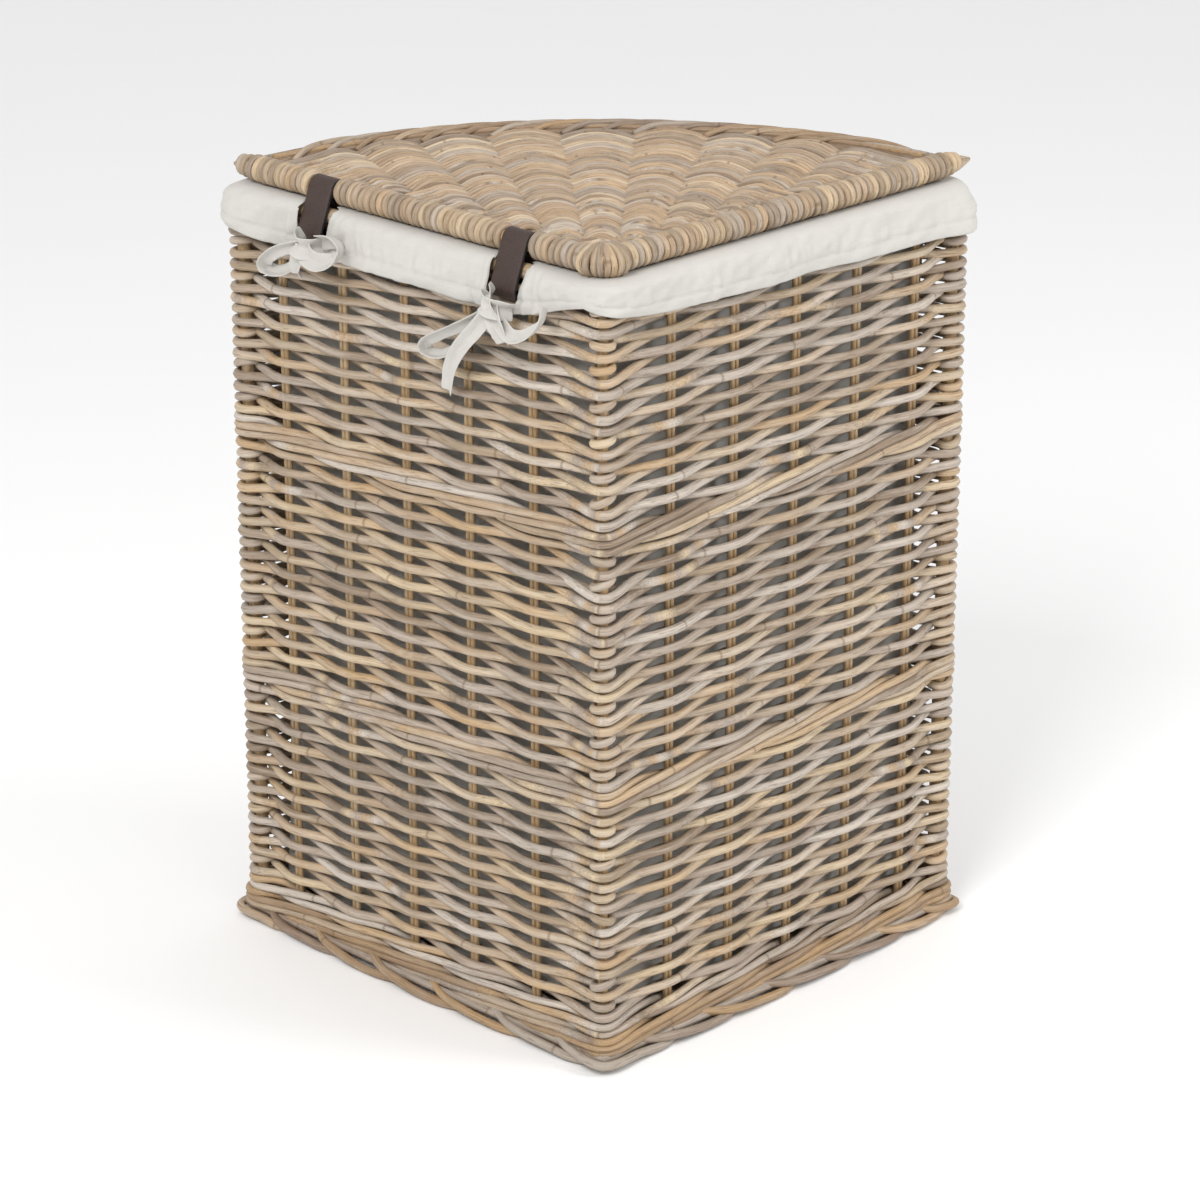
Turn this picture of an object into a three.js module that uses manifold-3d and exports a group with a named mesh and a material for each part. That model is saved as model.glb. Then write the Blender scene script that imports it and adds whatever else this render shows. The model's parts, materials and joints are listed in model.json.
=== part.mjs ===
// A corner laundry basket: a quarter circle in plan, woven from rattan rods round double stakes, with a
// cotton liner turned over its rim and a woven lid that swings on two leather loops.
//
// Millimetres, +Z up. The basket stands on z = 0 with its 90 degree corner towards -Y. Inside the group,
// the plan is drawn with the sharp corner of the two straight walls at 0, 0 and the bisector along +Y.
import * as THREE from "three";
import { mergeVertices } from "three/addons/utils/BufferGeometryUtils.js";
import Module from "manifold-3d";

// ---- Driving dimensions -------------------------------------------------------------------------

const LEG = 400; // outer length of each straight wall, and the radius of the curved wall
const WALL = 15; // thickness of the woven wall
const CORNER_RADIUS = 14; // rounding of the three upright corners
const GAP = 0.3; // between pieces that touch

const ROW = 14.2; // height of two rods of the weave, one before a stake and one behind it
const LOWER_ROWS = 12;
const MIDDLE_ROWS = 13;
const UPPER_ROWS = 12;
const WALE = 18; // height of each dense waling band
const FOOT_HEIGHT = 24;
const FOOT_FLARE = 8; // how far the rolled foot stands out from the wall
const FOOT_WALE = 12;

const STAKE_RADIUS = 2.1; // one of the two rods of a stake
const STAKES_PER_SIDE = 5;
const STAKES_ON_ARC = 9;
const LAST_GAP_SHARE = 0.63; // the gap beside each far corner, as a share of the other gaps
const POST_RADIUS = 5.5;
const POST_INSET = 10; // from the wall's outer face to the corner post's centre

const FRAME_ROD = 12; // thickness of the bent pole hoops
const FRAME_BEND = 8; // inner radius of their three bends
const BASE_BAR_RADIUS = 5;
const BASE_BARS = 3;
const BASE_BAR_SPACING = 110;
const BASE_BAR_LIFT = 4.7; // clear height under the bars
const BASE_WEAVE = 8;

const CLOTH = 2; // thickness of the liner
const LINER_BEND = 10; // radius of the bag's upright corners
const CUFF_DROP = 37.6; // from the top of the turned-over cuff to its lower edge
const CUFF_STANDOFF = 1.5; // from the wall's outer face to the cuff

const RIM_RADIUS = 10.5; // wound rim of the lid
const RIM_TIP = 20; // length of the pointed end of each wound rim
const LID_INSET = 4; // from the wall's outer face to the lid's edge
const LID_LIFT = 0.4; // between the liner and the lid
const POLE_RADIUS = 6.5;
const POLE_CLEARANCE = 0.4;
const CORNER_REACH = 4.5; // how far the corner wrap runs past the start of the wound rims' inner edge
const LID_RIBS = 9;
const RIB_RADIUS = 2.75;
const RIB_SPACING = 54; // at the far end of the fan
const RIB_FAN_REACH = 480; // length over which the ribs open out from their common point
const RIB_FAN_SETBACK = 150; // that point lies this far in front of the basket's corner
const LID_WEAVE = 11;
const LID_BORDER = 9;
const LID_BORDER_HEIGHT = 14;

const STRAP_WIDTH = 25;
const STRAP = 3; // thickness of the leather
const STRAP_CLEARANCE = 0.6; // between the leather and the pole that turns in it
const STRAP_GAP = 2.5; // between the leather's edge and the wound rim beside it
const STRAP_FRONT = 95; // along the left wall, from the corner to the middle of each strap
const STRAP_REAR = 301;
const STRAP_BEND = 8; // radius of the strap's two lower bends, at the middle of the leather
const STRAP_STANDOFF = 6.5; // how far the strap stands out from the wall
const STRAP_INSIDE = 0.5; // from the liner's inner face to the strap's inner leg
const STRAP_DROP = 27.2; // from the rim's top to the lowest run of the strap
const SLIT_WIDTH = 32;

const BOW_STANDOFF = 14; // from the wall's outer face to the middle of a bow
const BOW_THICKNESS = 7;
const BOW_KNOT = 9;

// Each lobe leaves the knot at `turn` degrees from the horizontal, towards the far corner.
const FRONT_BOW = {
  along: 92,
  up: 580,
  lobes: [
    { turn: -31, reach: 90, width: 17 },
    { turn: -53, reach: 86, width: 9 },
    { turn: 172, reach: 48, width: 15 },
    { turn: -121, reach: 20, width: 9 },
  ],
};
const REAR_BOW = {
  along: 292,
  up: 585,
  lobes: [
    { turn: -27, reach: 56, width: 18 },
    { turn: -57, reach: 26, width: 9 },
    { turn: 170, reach: 38, width: 20 },
    { turn: -115, reach: 20, width: 9 },
  ],
};

// ---- Worked-out levels and places ---------------------------------------------------------------

const HALF = Math.SQRT1_2;
const LOWER_BOTTOM = FOOT_HEIGHT + GAP + FOOT_WALE + GAP;
const LOWER_TOP = LOWER_BOTTOM + LOWER_ROWS * ROW;
const MIDDLE_BOTTOM = LOWER_TOP + GAP + WALE + GAP;
const MIDDLE_TOP = MIDDLE_BOTTOM + MIDDLE_ROWS * ROW;
const UPPER_BOTTOM = MIDDLE_TOP + GAP + WALE + GAP;
const UPPER_TOP = UPPER_BOTTOM + UPPER_ROWS * ROW;
const RIM_BOTTOM = UPPER_TOP + GAP;
const RIM_TOP = RIM_BOTTOM + FRAME_ROD;
const CUFF_TOP = RIM_TOP + GAP + CLOTH;
const CUFF_BOTTOM = CUFF_TOP - CUFF_DROP;
const LID_Z = CUFF_TOP + LID_LIFT + RIM_RADIUS; // height of the lid's poles
const LID_AXIS_INSET = LID_INSET + RIM_RADIUS; // from the wall's outer face to the lid's poles
const CORNER_WRAP = RIM_RADIUS + CORNER_REACH; // length of the corner wrap along each edge
const BASE_Z = BASE_BAR_LIFT + 2 * BASE_BAR_RADIUS + GAP; // underside of the base hoop and weave
const LINER_INSET = WALL + 1; // the liner hangs just inside the wall
const LINER_FLOOR = BASE_Z + FRAME_ROD + GAP + 0.5;
const STRAP_INNER = LINER_INSET + CLOTH + STRAP_INSIDE + STRAP / 2; // inset of the strap's inner leg
const STRAP_LOW = RIM_TOP - STRAP_DROP; // middle of the strap's lowest run
const RIM_END = Math.sqrt((LEG - LID_INSET - RIM_RADIUS) ** 2 - LID_AXIS_INSET ** 2);

// Depth of the whole plan: from the foot's rounded corner to the middle of the curved foot.
const PLAN_FRONT = CORNER_RADIUS * Math.SQRT2 - CORNER_RADIUS - FOOT_FLARE;
const PLAN_BACK = LEG + FOOT_FLARE;

// ---- Materials ----------------------------------------------------------------------------------

const rattan = (colour) => new THREE.MeshStandardMaterial({ color: colour, roughness: 0.62, metalness: 0 });
const WEAVE_GREY = rattan(0xb09a80);
const WEAVE_TAN = rattan(0xb4936c);
const STAKE_GOLD = rattan(0xb98f5c);
const BORDER_BROWN = rattan(0x9b7c5e);
const COTTON = new THREE.MeshStandardMaterial({ color: 0xebe8e1, roughness: 0.92, metalness: 0 });
const LEATHER = new THREE.MeshStandardMaterial({ color: 0x463734, roughness: 0.55, metalness: 0 });

// ---- Solids: joining and cutting ----------------------------------------------------------------

const wasm = await Module();
wasm.setup();

/** A closed three.js geometry as a solid that can be joined and cut. */
function solid(geometry) {
  const bare = geometry.clone();
  bare.deleteAttribute("normal");
  bare.deleteAttribute("uv");
  const merged = mergeVertices(bare, 1e-3);
  return new wasm.Manifold(
    new wasm.Mesh({
      numProp: 3,
      vertProperties: new Float32Array(merged.attributes.position.array),
      triVerts: new Uint32Array(merged.index.array),
    }),
  );
}

/** The solid back as a geometry for a mesh. */
function geometryOf(body) {
  const mesh = body.getMesh();
  const geometry = new THREE.BufferGeometry();
  geometry.setAttribute("position", new THREE.BufferAttribute(new Float32Array(mesh.vertProperties), 3));
  geometry.setIndex(new THREE.BufferAttribute(new Uint32Array(mesh.triVerts), 1));
  const faceted = geometry.toNonIndexed();
  faceted.computeVertexNormals();
  return faceted;
}

const joined = (...parts) => parts.reduce((whole, part) => whole.add(part));
const cut = (body, ...tools) => tools.reduce((rest, tool) => rest.subtract(tool), body);

// ---- Plan geometry ------------------------------------------------------------------------------

/** A place beside a straight wall: side 1 is the right wall, -1 the left one. */
function besideWall(side, along, inset) {
  return new THREE.Vector2(side * HALF * (along - inset), HALF * (along + inset));
}

/** Points of an arc, angles in degrees, both ends included. */
function arcPoints(centre, radius, from, to, steps) {
  const curve = new THREE.EllipseCurve(
    centre.x,
    centre.y,
    radius,
    radius,
    THREE.MathUtils.degToRad(from),
    THREE.MathUtils.degToRad(to),
  );
  return curve.getPoints(steps);
}

/** The quarter-circle outline, `side` inside the straight faces and `arc` inside the curved one. */
function quadrant(side, arc = side, rounding = Math.max(CORNER_RADIUS - side, 1.5)) {
  const reach = side + rounding;
  const along = Math.sqrt((LEG - arc - rounding) ** 2 - reach ** 2);
  const lean = THREE.MathUtils.radToDeg(Math.atan2(reach, along));
  const front = new THREE.Vector2(0, reach * Math.SQRT2);
  const back = new THREE.Vector2(0, 0);
  return [
    ...arcPoints(front, rounding, 225, 315, 4),
    ...arcPoints(besideWall(1, along, reach), rounding, -45, 45 + lean, 4),
    ...arcPoints(back, LEG - arc, 45 + lean, 135 - lean, 24).slice(1, -1),
    ...arcPoints(besideWall(-1, along, reach), rounding, 135 - lean, 225, 4),
  ];
}

/** An upright prism of an outline with holes, from one height to another, its edges bevelled if asked. */
function prism(outline, holes, bottom, top, bevel = 0) {
  const shape = new THREE.Shape(outline);
  shape.holes = holes.map((hole) => new THREE.Path(hole));
  const geometry = new THREE.ExtrudeGeometry(shape, {
    depth: top - bottom - 2 * bevel,
    bevelEnabled: bevel > 0,
    bevelThickness: bevel,
    bevelSize: bevel,
    bevelOffset: -bevel,
    bevelSegments: 1,
    steps: 1,
  });
  return geometry.translate(0, 0, bottom + bevel);
}

/** A bent pole: an eight-sided hoop that follows the walls, its outer edge `inset` inside them. */
function hoop(inset, bottom) {
  const bevel = (FRAME_ROD * (1 - Math.SQRT1_2)) / 2;
  const outer = quadrant(inset, inset, FRAME_BEND + FRAME_ROD);
  const inner = quadrant(inset + FRAME_ROD, inset + FRAME_ROD, FRAME_BEND);
  return prism(outer, [inner], bottom, bottom + FRAME_ROD, bevel);
}

// ---- Stakes and posts ---------------------------------------------------------------------------

const farPost = Math.sqrt((LEG - POST_INSET) ** 2 - POST_INSET ** 2);
const stakePitch = (farPost - POST_INSET) / (STAKES_PER_SIDE + LAST_GAP_SHARE);
const stakeLine = WALL / 2;

/** Centre and direction of every stake, with the piece's name. */
function stakePlaces() {
  const places = [];
  for (const [name, side] of [
    ["left", -1],
    ["right", 1],
  ]) {
    for (let k = 1; k <= STAKES_PER_SIDE; k++) {
      const along = POST_INSET + k * stakePitch;
      places.push({
        name: `stake_${name}_${k}`,
        side,
        along,
        centre: besideWall(side, along, stakeLine),
        turn: side > 0 ? 45 : 135,
      });
    }
  }
  for (let k = 1; k <= STAKES_ON_ARC; k++) {
    const angle = 45 + (90 * k) / (STAKES_ON_ARC + 1);
    const radius = LEG - stakeLine;
    const radians = THREE.MathUtils.degToRad(angle);
    const centre = new THREE.Vector2(radius * Math.cos(radians), radius * Math.sin(radians));
    places.push({ name: `stake_arc_${k}`, side: 0, along: 0, centre, turn: angle + 90 });
  }
  return places;
}

const postPlaces = [
  { name: "corner_post_front", centre: besideWall(1, POST_INSET, POST_INSET) },
  { name: "corner_post_left", centre: besideWall(-1, farPost, POST_INSET) },
  { name: "corner_post_right", centre: besideWall(1, farPost, POST_INSET) },
];

/** Outline round two rods side by side: their own section, or the pocket that they stand in. */
function pairOutline({ centre, turn }, radius, steps) {
  const radians = THREE.MathUtils.degToRad(turn);
  const direction = new THREE.Vector2(Math.cos(radians), Math.sin(radians));
  const first = centre.clone().addScaledVector(direction, STAKE_RADIUS);
  const second = centre.clone().addScaledVector(direction, -STAKE_RADIUS);
  return [
    ...arcPoints(first, radius, turn - 90, turn + 90, steps),
    ...arcPoints(second, radius, turn + 90, turn + 270, steps),
  ];
}

const stakes = stakePlaces();
const pockets = [
  ...stakes.map((stake) => pairOutline(stake, STAKE_RADIUS + 2 * GAP, 3)),
  ...postPlaces.map(({ centre }) => arcPoints(centre, POST_RADIUS + 2 * GAP, 0, 360, 10).slice(1)),
];

/** A ring of wall between two heights, with a pocket for every stake and post. */
function wallRing(bottom, top, flare = 0, bevel = 0) {
  return prism(quadrant(-flare), [quadrant(WALL), ...pockets], bottom, top, bevel);
}

// ---- Slots through the left wall ----------------------------------------------------------------

/** A box across the left wall, as a cutting tool. */
function slot(along, width, bottom, top, insetFrom, insetTo) {
  const box = new THREE.BoxGeometry(insetTo - insetFrom, width, top - bottom);
  const centre = besideWall(-1, along, (insetFrom + insetTo) / 2);
  box.rotateZ(Math.PI / 4);
  return solid(box.translate(centre.x, centre.y, (bottom + top) / 2));
}

const straps = [
  { name: "strap_front", along: STRAP_FRONT },
  { name: "strap_rear", along: STRAP_REAR },
];
const strapWindowBottom = STRAP_LOW - STRAP / 2 - 2 * GAP;
const strapWindowTop = STRAP_LOW + STRAP / 2 + 4 * GAP;

// ---- Pieces of the basket -----------------------------------------------------------------------

function upperWeave() {
  const windows = straps.map(({ along }) =>
    slot(along, STRAP_WIDTH + 4 * GAP, strapWindowBottom, strapWindowTop, -1, WALL + 1),
  );
  return geometryOf(cut(solid(wallRing(UPPER_BOTTOM, UPPER_TOP)), ...windows));
}

/** A stake ends below the strap where one crosses the wall at its place. */
function stakeTop({ side, along }) {
  const crossed = straps.some(
    (strap) => side < 0 && Math.abs(strap.along - along) < STRAP_WIDTH / 2 + 2 * STAKE_RADIUS + 2 * GAP,
  );
  return crossed ? strapWindowBottom - GAP : UPPER_TOP;
}

function stakeRod(stake) {
  const bottom = FOOT_HEIGHT / 3;
  return prism(pairOutline(stake, STAKE_RADIUS, 5), [], bottom, stakeTop(stake));
}

function cornerPost(centre) {
  const bottom = FOOT_HEIGHT / 3;
  const height = UPPER_TOP - bottom;
  const post = new THREE.CylinderGeometry(POST_RADIUS, POST_RADIUS, height, 12).rotateX(Math.PI / 2);
  return post.translate(centre.x, centre.y, bottom + height / 2);
}

/** A bar under the base, parallel to the bisector, from the straight wall to the curved one. */
function baseBar(x) {
  const reach = WALL + 1;
  const edge = Math.abs(x) + BASE_BAR_RADIUS;
  const front = edge + reach * Math.SQRT2;
  const back = Math.sqrt((LEG - reach) ** 2 - edge ** 2);
  const bar = new THREE.CylinderGeometry(BASE_BAR_RADIUS, BASE_BAR_RADIUS, back - front, 8);
  return bar.translate(x, (front + back) / 2, BASE_BAR_LIFT + BASE_BAR_RADIUS);
}

/** The liner: an open bag whose top is turned over the rim, cut away where each strap passes. */
function liner() {
  const inner = LINER_INSET + CLOTH;
  const outer = -CUFF_STANDOFF - CLOTH;
  const bagOutline = quadrant(LINER_INSET, LINER_INSET, LINER_BEND + CLOTH);
  const bag = solid(prism(bagOutline, [], LINER_FLOOR, CUFF_TOP));
  const inside = solid(prism(quadrant(inner, inner, LINER_BEND), [], LINER_FLOOR + CLOTH, CUFF_TOP + 1));
  const brim = solid(prism(quadrant(outer), [], CUFF_TOP - CLOTH, CUFF_TOP));
  const cuff = solid(prism(quadrant(outer), [quadrant(-CUFF_STANDOFF)], CUFF_BOTTOM, CUFF_TOP - CLOTH / 2));
  const slits = straps.map(({ along }) =>
    slot(along, SLIT_WIDTH, CUFF_BOTTOM - 2, CUFF_TOP + 1, outer - 1, inner + 1),
  );
  return geometryOf(cut(joined(bag, brim, cuff), inside, ...slits));
}

// ---- Straps and bows, drawn on the left wall: x is the inset, y is up, -z runs along the wall -----

/** A belt round three circles, offset from its middle line: the strap's outer or inner outline. */
function beltOutline(offset) {
  const bottom = STRAP_LOW + STRAP_BEND;
  const circles = [
    { centre: new THREE.Vector2(STRAP_BEND - STRAP_STANDOFF, bottom), radius: STRAP_BEND + offset },
    { centre: new THREE.Vector2(STRAP_INNER - STRAP_BEND, bottom), radius: STRAP_BEND + offset },
    {
      centre: new THREE.Vector2(LID_AXIS_INSET, LID_Z),
      radius: POLE_RADIUS + STRAP_CLEARANCE + STRAP / 2 + offset,
    },
  ];
  // The direction, in degrees, that a tangent shared by two neighbouring circles faces.
  const facing = circles.map(({ centre, radius }, k) => {
    const next = circles[(k + 1) % circles.length];
    const step = next.centre.clone().sub(centre);
    const spread = Math.acos((radius - next.radius) / step.length());
    return THREE.MathUtils.radToDeg(step.angle() - spread);
  });
  const points = [];
  circles.forEach(({ centre, radius }, k) => {
    const from = facing[(k + circles.length - 1) % circles.length];
    const sweep = THREE.MathUtils.euclideanModulo(facing[k] - from, 360);
    points.push(...arcPoints(centre, radius, from, from + sweep, 8));
  });
  return points;
}

function strap() {
  const shape = new THREE.Shape(beltOutline(STRAP / 2));
  shape.holes = [new THREE.Path(beltOutline(-STRAP / 2))];
  return new THREE.ExtrudeGeometry(shape, { depth: STRAP_WIDTH, bevelEnabled: false });
}

/** A tied bow as one soft solid: a knot and flattened lobes that leave it on all sides. */
function bow({ lobes }) {
  const knot = new THREE.SphereGeometry(1, 10, 6).scale(BOW_THICKNESS / 2 + 1, BOW_KNOT, BOW_KNOT);
  const parts = lobes.map(({ turn, reach, width }) => {
    const lobe = new THREE.SphereGeometry(1, 10, 6).scale(BOW_THICKNESS / 2, width / 2, reach / 2);
    lobe.translate(0, 0, -reach / 2);
    return solid(lobe.rotateX(THREE.MathUtils.degToRad(turn)));
  });
  return geometryOf(joined(solid(knot), ...parts).simplify(0.05));
}

// ---- Pieces of the lid --------------------------------------------------------------------------

/** A round pole along one edge of the lid, as a geometry that runs up its own +Y from 0. */
function pole(radius, length, sides = 16) {
  return new THREE.CylinderGeometry(radius, radius, length, sides).translate(0, length / 2, 0);
}

/** Rods wound side by side round a pole: a sleeve, with a pointed closed end if asked. */
function windings(length, tip = 0) {
  const hole = POLE_RADIUS + POLE_CLEARANCE;
  const end = new THREE.Vector2(RIM_RADIUS, length);
  const profile = [new THREE.Vector2(hole, 0), new THREE.Vector2(RIM_RADIUS, 0), end];
  if (tip > 0) {
    const steps = 4;
    for (let k = 1; k < steps; k++) {
      const angle = (k / steps) * (Math.PI / 2);
      profile.push(new THREE.Vector2(RIM_RADIUS * Math.cos(angle), length + tip * Math.sin(angle)));
    }
    profile.push(new THREE.Vector2(0, length + tip));
    const hollowEnd = length + POLE_CLEARANCE;
    profile.unshift(new THREE.Vector2(0, hollowEnd), new THREE.Vector2(hole, hollowEnd));
  } else {
    profile.push(new THREE.Vector2(hole, length), new THREE.Vector2(hole, 0));
  }
  return new THREE.LatheGeometry(profile, 16);
}

const leftPoleStart = LID_AXIS_INSET - POLE_RADIUS + 2;
const rightPoleStart = LID_AXIS_INSET + POLE_RADIUS + POLE_CLEARANCE;

/** Moves a piece that runs up its own +Y to a straight edge of the lid. */
function alongEdge(geometry, side, start) {
  const place = besideWall(side, start, LID_AXIS_INSET);
  return geometry.rotateZ((-side * Math.PI) / 4).translate(place.x, place.y, LID_Z);
}

/** The wrap round the lid's front corner: two short sleeves that meet in a ball. */
function cornerWrap() {
  const place = besideWall(1, LID_AXIS_INSET, LID_AXIS_INSET);
  const ball = new THREE.SphereGeometry(RIM_RADIUS, 16, 10).translate(place.x, place.y, LID_Z);
  const sleeve = (side) => alongEdge(pole(RIM_RADIUS, CORNER_WRAP), side, LID_AXIS_INSET);
  const sleeves = [solid(sleeve(-1)), solid(sleeve(1))];
  const bore = POLE_RADIUS + POLE_CLEARANCE;
  const leftBore = solid(alongEdge(pole(bore, LEG), -1, leftPoleStart - POLE_CLEARANCE));
  const rightBore = solid(alongEdge(pole(bore, LEG), 1, rightPoleStart - POLE_CLEARANCE));
  return geometryOf(cut(joined(solid(ball), ...sleeves), leftBore, rightBore));
}

const weaveInset = LID_AXIS_INSET + RIM_RADIUS + GAP; // where the lid's panel starts beside a wound rim
const arcRodInset = LID_INSET + LID_BORDER + GAP;
const panelArcInset = arcRodInset + FRAME_ROD + GAP;

/** A strip along the lid's curved edge, between the two wound rims. */
function edgeStrip(inset, width, bottom, top, bevel) {
  const outer = LEG - inset;
  const lean = THREE.MathUtils.radToDeg(Math.asin((weaveInset + GAP) / (outer - width)));
  const centre = new THREE.Vector2(0, 0);
  const outline = [
    ...arcPoints(centre, outer, 45 + lean, 135 - lean, 24),
    ...arcPoints(centre, outer - width, 45 + lean, 135 - lean, 24).reverse(),
  ];
  return prism(outline, [], bottom, top, bevel);
}

/** Both ends of a rib: it starts beside a straight edge and ends at the curved rod. */
function ribEnds(k) {
  const slope = (k * RIB_SPACING) / RIB_FAN_REACH;
  const startInset = weaveInset + 2 * RIB_RADIUS;
  const startY = (startInset * Math.SQRT2 + Math.abs(slope) * RIB_FAN_SETBACK) / (1 - Math.abs(slope));
  const radius = LEG - panelArcInset;
  // The rib's line is x = slope (y + setback); it meets the circle x x + y y = radius radius.
  const a = 1 + slope * slope;
  const b = 2 * slope * slope * RIB_FAN_SETBACK;
  const c = (slope * RIB_FAN_SETBACK) ** 2 - radius * radius;
  const endY = (-b + Math.sqrt(b * b - 4 * a * c)) / (2 * a);
  const at = (y) => new THREE.Vector3(slope * (y + RIB_FAN_SETBACK), y, LID_Z);
  return [at(startY), at(endY)];
}

/** A rod between two points of the lid's plane, made longer at each end by `extra`. */
function rodBetween(from, to, radius, extraStart, extraEnd) {
  const direction = to.clone().sub(from);
  const length = direction.length() + extraStart + extraEnd;
  const start = from.clone().addScaledVector(direction.normalize(), -extraStart);
  const rod = pole(radius, length, 8).rotateZ(Math.atan2(-direction.x, direction.y));
  return rod.translate(start.x, start.y, start.z);
}

const ribNumbers = Array.from({ length: LID_RIBS }, (_, k) => k - (LID_RIBS - 1) / 2);

/** The woven panel, with a bore for every rib that opens on its curved edge. */
function lidWeave() {
  const outline = quadrant(weaveInset, panelArcInset, 6);
  const panel = solid(prism(outline, [], LID_Z - LID_WEAVE / 2, LID_Z + LID_WEAVE / 2));
  const bores = ribNumbers.map((k) => {
    const [from, to] = ribEnds(k);
    return solid(rodBetween(from, to, RIB_RADIUS + 2 * GAP, 2 * GAP, 2 * RIB_RADIUS));
  });
  return geometryOf(cut(panel, ...bores));
}

// ---- The assembly -------------------------------------------------------------------------------

const basket = new THREE.Group();
const plan = new THREE.Group();
plan.position.y = -(PLAN_FRONT + PLAN_BACK) / 2;
basket.add(plan);

const leftWall = new THREE.Group();
leftWall.quaternion.setFromRotationMatrix(
  new THREE.Matrix4().makeBasis(
    new THREE.Vector3(HALF, HALF, 0),
    new THREE.Vector3(0, 0, 1),
    new THREE.Vector3(HALF, -HALF, 0),
  ),
);
plan.add(leftWall);

/** Adds a named piece to a group. */
function piece(name, geometry, material, parent = plan) {
  const mesh = new THREE.Mesh(geometry, material);
  mesh.name = name;
  parent.add(mesh);
  return mesh;
}

// Base
piece("base_frame", hoop(WALL + 1, BASE_Z), STAKE_GOLD);
for (let k = 1; k <= BASE_BARS; k++) {
  piece(`base_bar_${k}`, baseBar((k - (BASE_BARS + 1) / 2) * BASE_BAR_SPACING), STAKE_GOLD);
}
const baseInset = WALL + 1 + FRAME_ROD + 2 * GAP;
const baseOutline = quadrant(baseInset, baseInset, FRAME_BEND);
piece("base_weave", prism(baseOutline, [], BASE_Z, BASE_Z + BASE_WEAVE), WEAVE_TAN);

// Uprights
for (const { name, centre } of postPlaces) {
  piece(name, cornerPost(centre), STAKE_GOLD);
}
for (const stake of stakes) {
  piece(stake.name, stakeRod(stake), STAKE_GOLD);
}

// Woven wall, from the floor up
piece("foot_border", wallRing(0, FOOT_HEIGHT, FOOT_FLARE), BORDER_BROWN);
piece("foot_wale", wallRing(FOOT_HEIGHT + GAP, LOWER_BOTTOM - GAP), WEAVE_GREY);
piece("weave_lower", wallRing(LOWER_BOTTOM, LOWER_TOP), WEAVE_TAN);
piece("wale_lower", wallRing(LOWER_TOP + GAP, MIDDLE_BOTTOM - GAP), WEAVE_GREY);
piece("weave_middle", wallRing(MIDDLE_BOTTOM, MIDDLE_TOP), WEAVE_TAN);
piece("wale_upper", wallRing(MIDDLE_TOP + GAP, UPPER_BOTTOM - GAP), WEAVE_GREY);
piece("weave_upper", upperWeave(), WEAVE_TAN);
piece("top_frame", hoop(WALL - FRAME_ROD - GAP, RIM_BOTTOM), STAKE_GOLD);

// Liner, straps and bows
piece("liner", liner(), COTTON);
for (const { name, along } of straps) {
  piece(name, strap(), LEATHER, leftWall).position.z = -(along + STRAP_WIDTH / 2);
}
for (const [name, tie] of [
  ["tie_front", FRONT_BOW],
  ["tie_rear", REAR_BOW],
]) {
  piece(name, bow(tie), COTTON, leftWall).position.set(-BOW_STANDOFF, tie.up, -tie.along);
}

// Lid
for (const [name, side, start] of [
  ["lid_hinge_pole", -1, leftPoleStart],
  ["lid_right_pole", 1, rightPoleStart],
]) {
  piece(name, alongEdge(pole(POLE_RADIUS, RIM_END - start), side, start), STAKE_GOLD);
}
piece(
  "lid_arc_rod",
  edgeStrip(arcRodInset, FRAME_ROD, LID_Z - FRAME_ROD / 2, LID_Z + FRAME_ROD / 2, 2),
  STAKE_GOLD,
);
ribNumbers.forEach((k, index) => {
  const [from, to] = ribEnds(k);
  piece(`lid_rib_${index + 1}`, rodBetween(from, to, RIB_RADIUS, 0, -RIB_RADIUS / 2), STAKE_GOLD);
});
piece("lid_weave", lidWeave(), WEAVE_TAN);

const windowHalf = STRAP_WIDTH / 2 + STRAP_GAP;
const wrapStart = LID_AXIS_INSET + CORNER_WRAP + GAP;
const leftWraps = [
  ["lid_wrap_left_front", wrapStart, STRAP_FRONT - windowHalf, 0],
  ["lid_wrap_left_middle", STRAP_FRONT + windowHalf, STRAP_REAR - windowHalf, 0],
  ["lid_wrap_left_rear", STRAP_REAR + windowHalf, RIM_END, RIM_TIP],
];
for (const [name, from, to, tip] of leftWraps) {
  piece(name, alongEdge(windings(to - from, tip), -1, from), WEAVE_GREY);
}
piece("lid_wrap_right", alongEdge(windings(RIM_END - wrapStart, RIM_TIP), 1, wrapStart), WEAVE_GREY);
piece("lid_wrap_corner", cornerWrap(), WEAVE_GREY);
piece(
  "lid_border",
  edgeStrip(LID_INSET, LID_BORDER, LID_Z - LID_BORDER_HEIGHT / 2, LID_Z + LID_BORDER_HEIGHT / 2, 2),
  BORDER_BROWN,
);

export default basket;
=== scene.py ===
"""A corner laundry basket of woven rattan, with a cotton liner, two tied bows and a hinged woven lid.

Metres, +Z up. The uprights, bands and hoops stand where the frame's nodes stand, and the lid hangs on
the frame's joint. The woven rods, cloth, tape and leather are made round them.
"""

import json
import logging
import math
from collections.abc import Iterator
from contextlib import contextmanager
from dataclasses import dataclass, field
from enum import Enum

import bmesh
import bpy
import numpy as np
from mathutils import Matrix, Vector, noise


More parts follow.
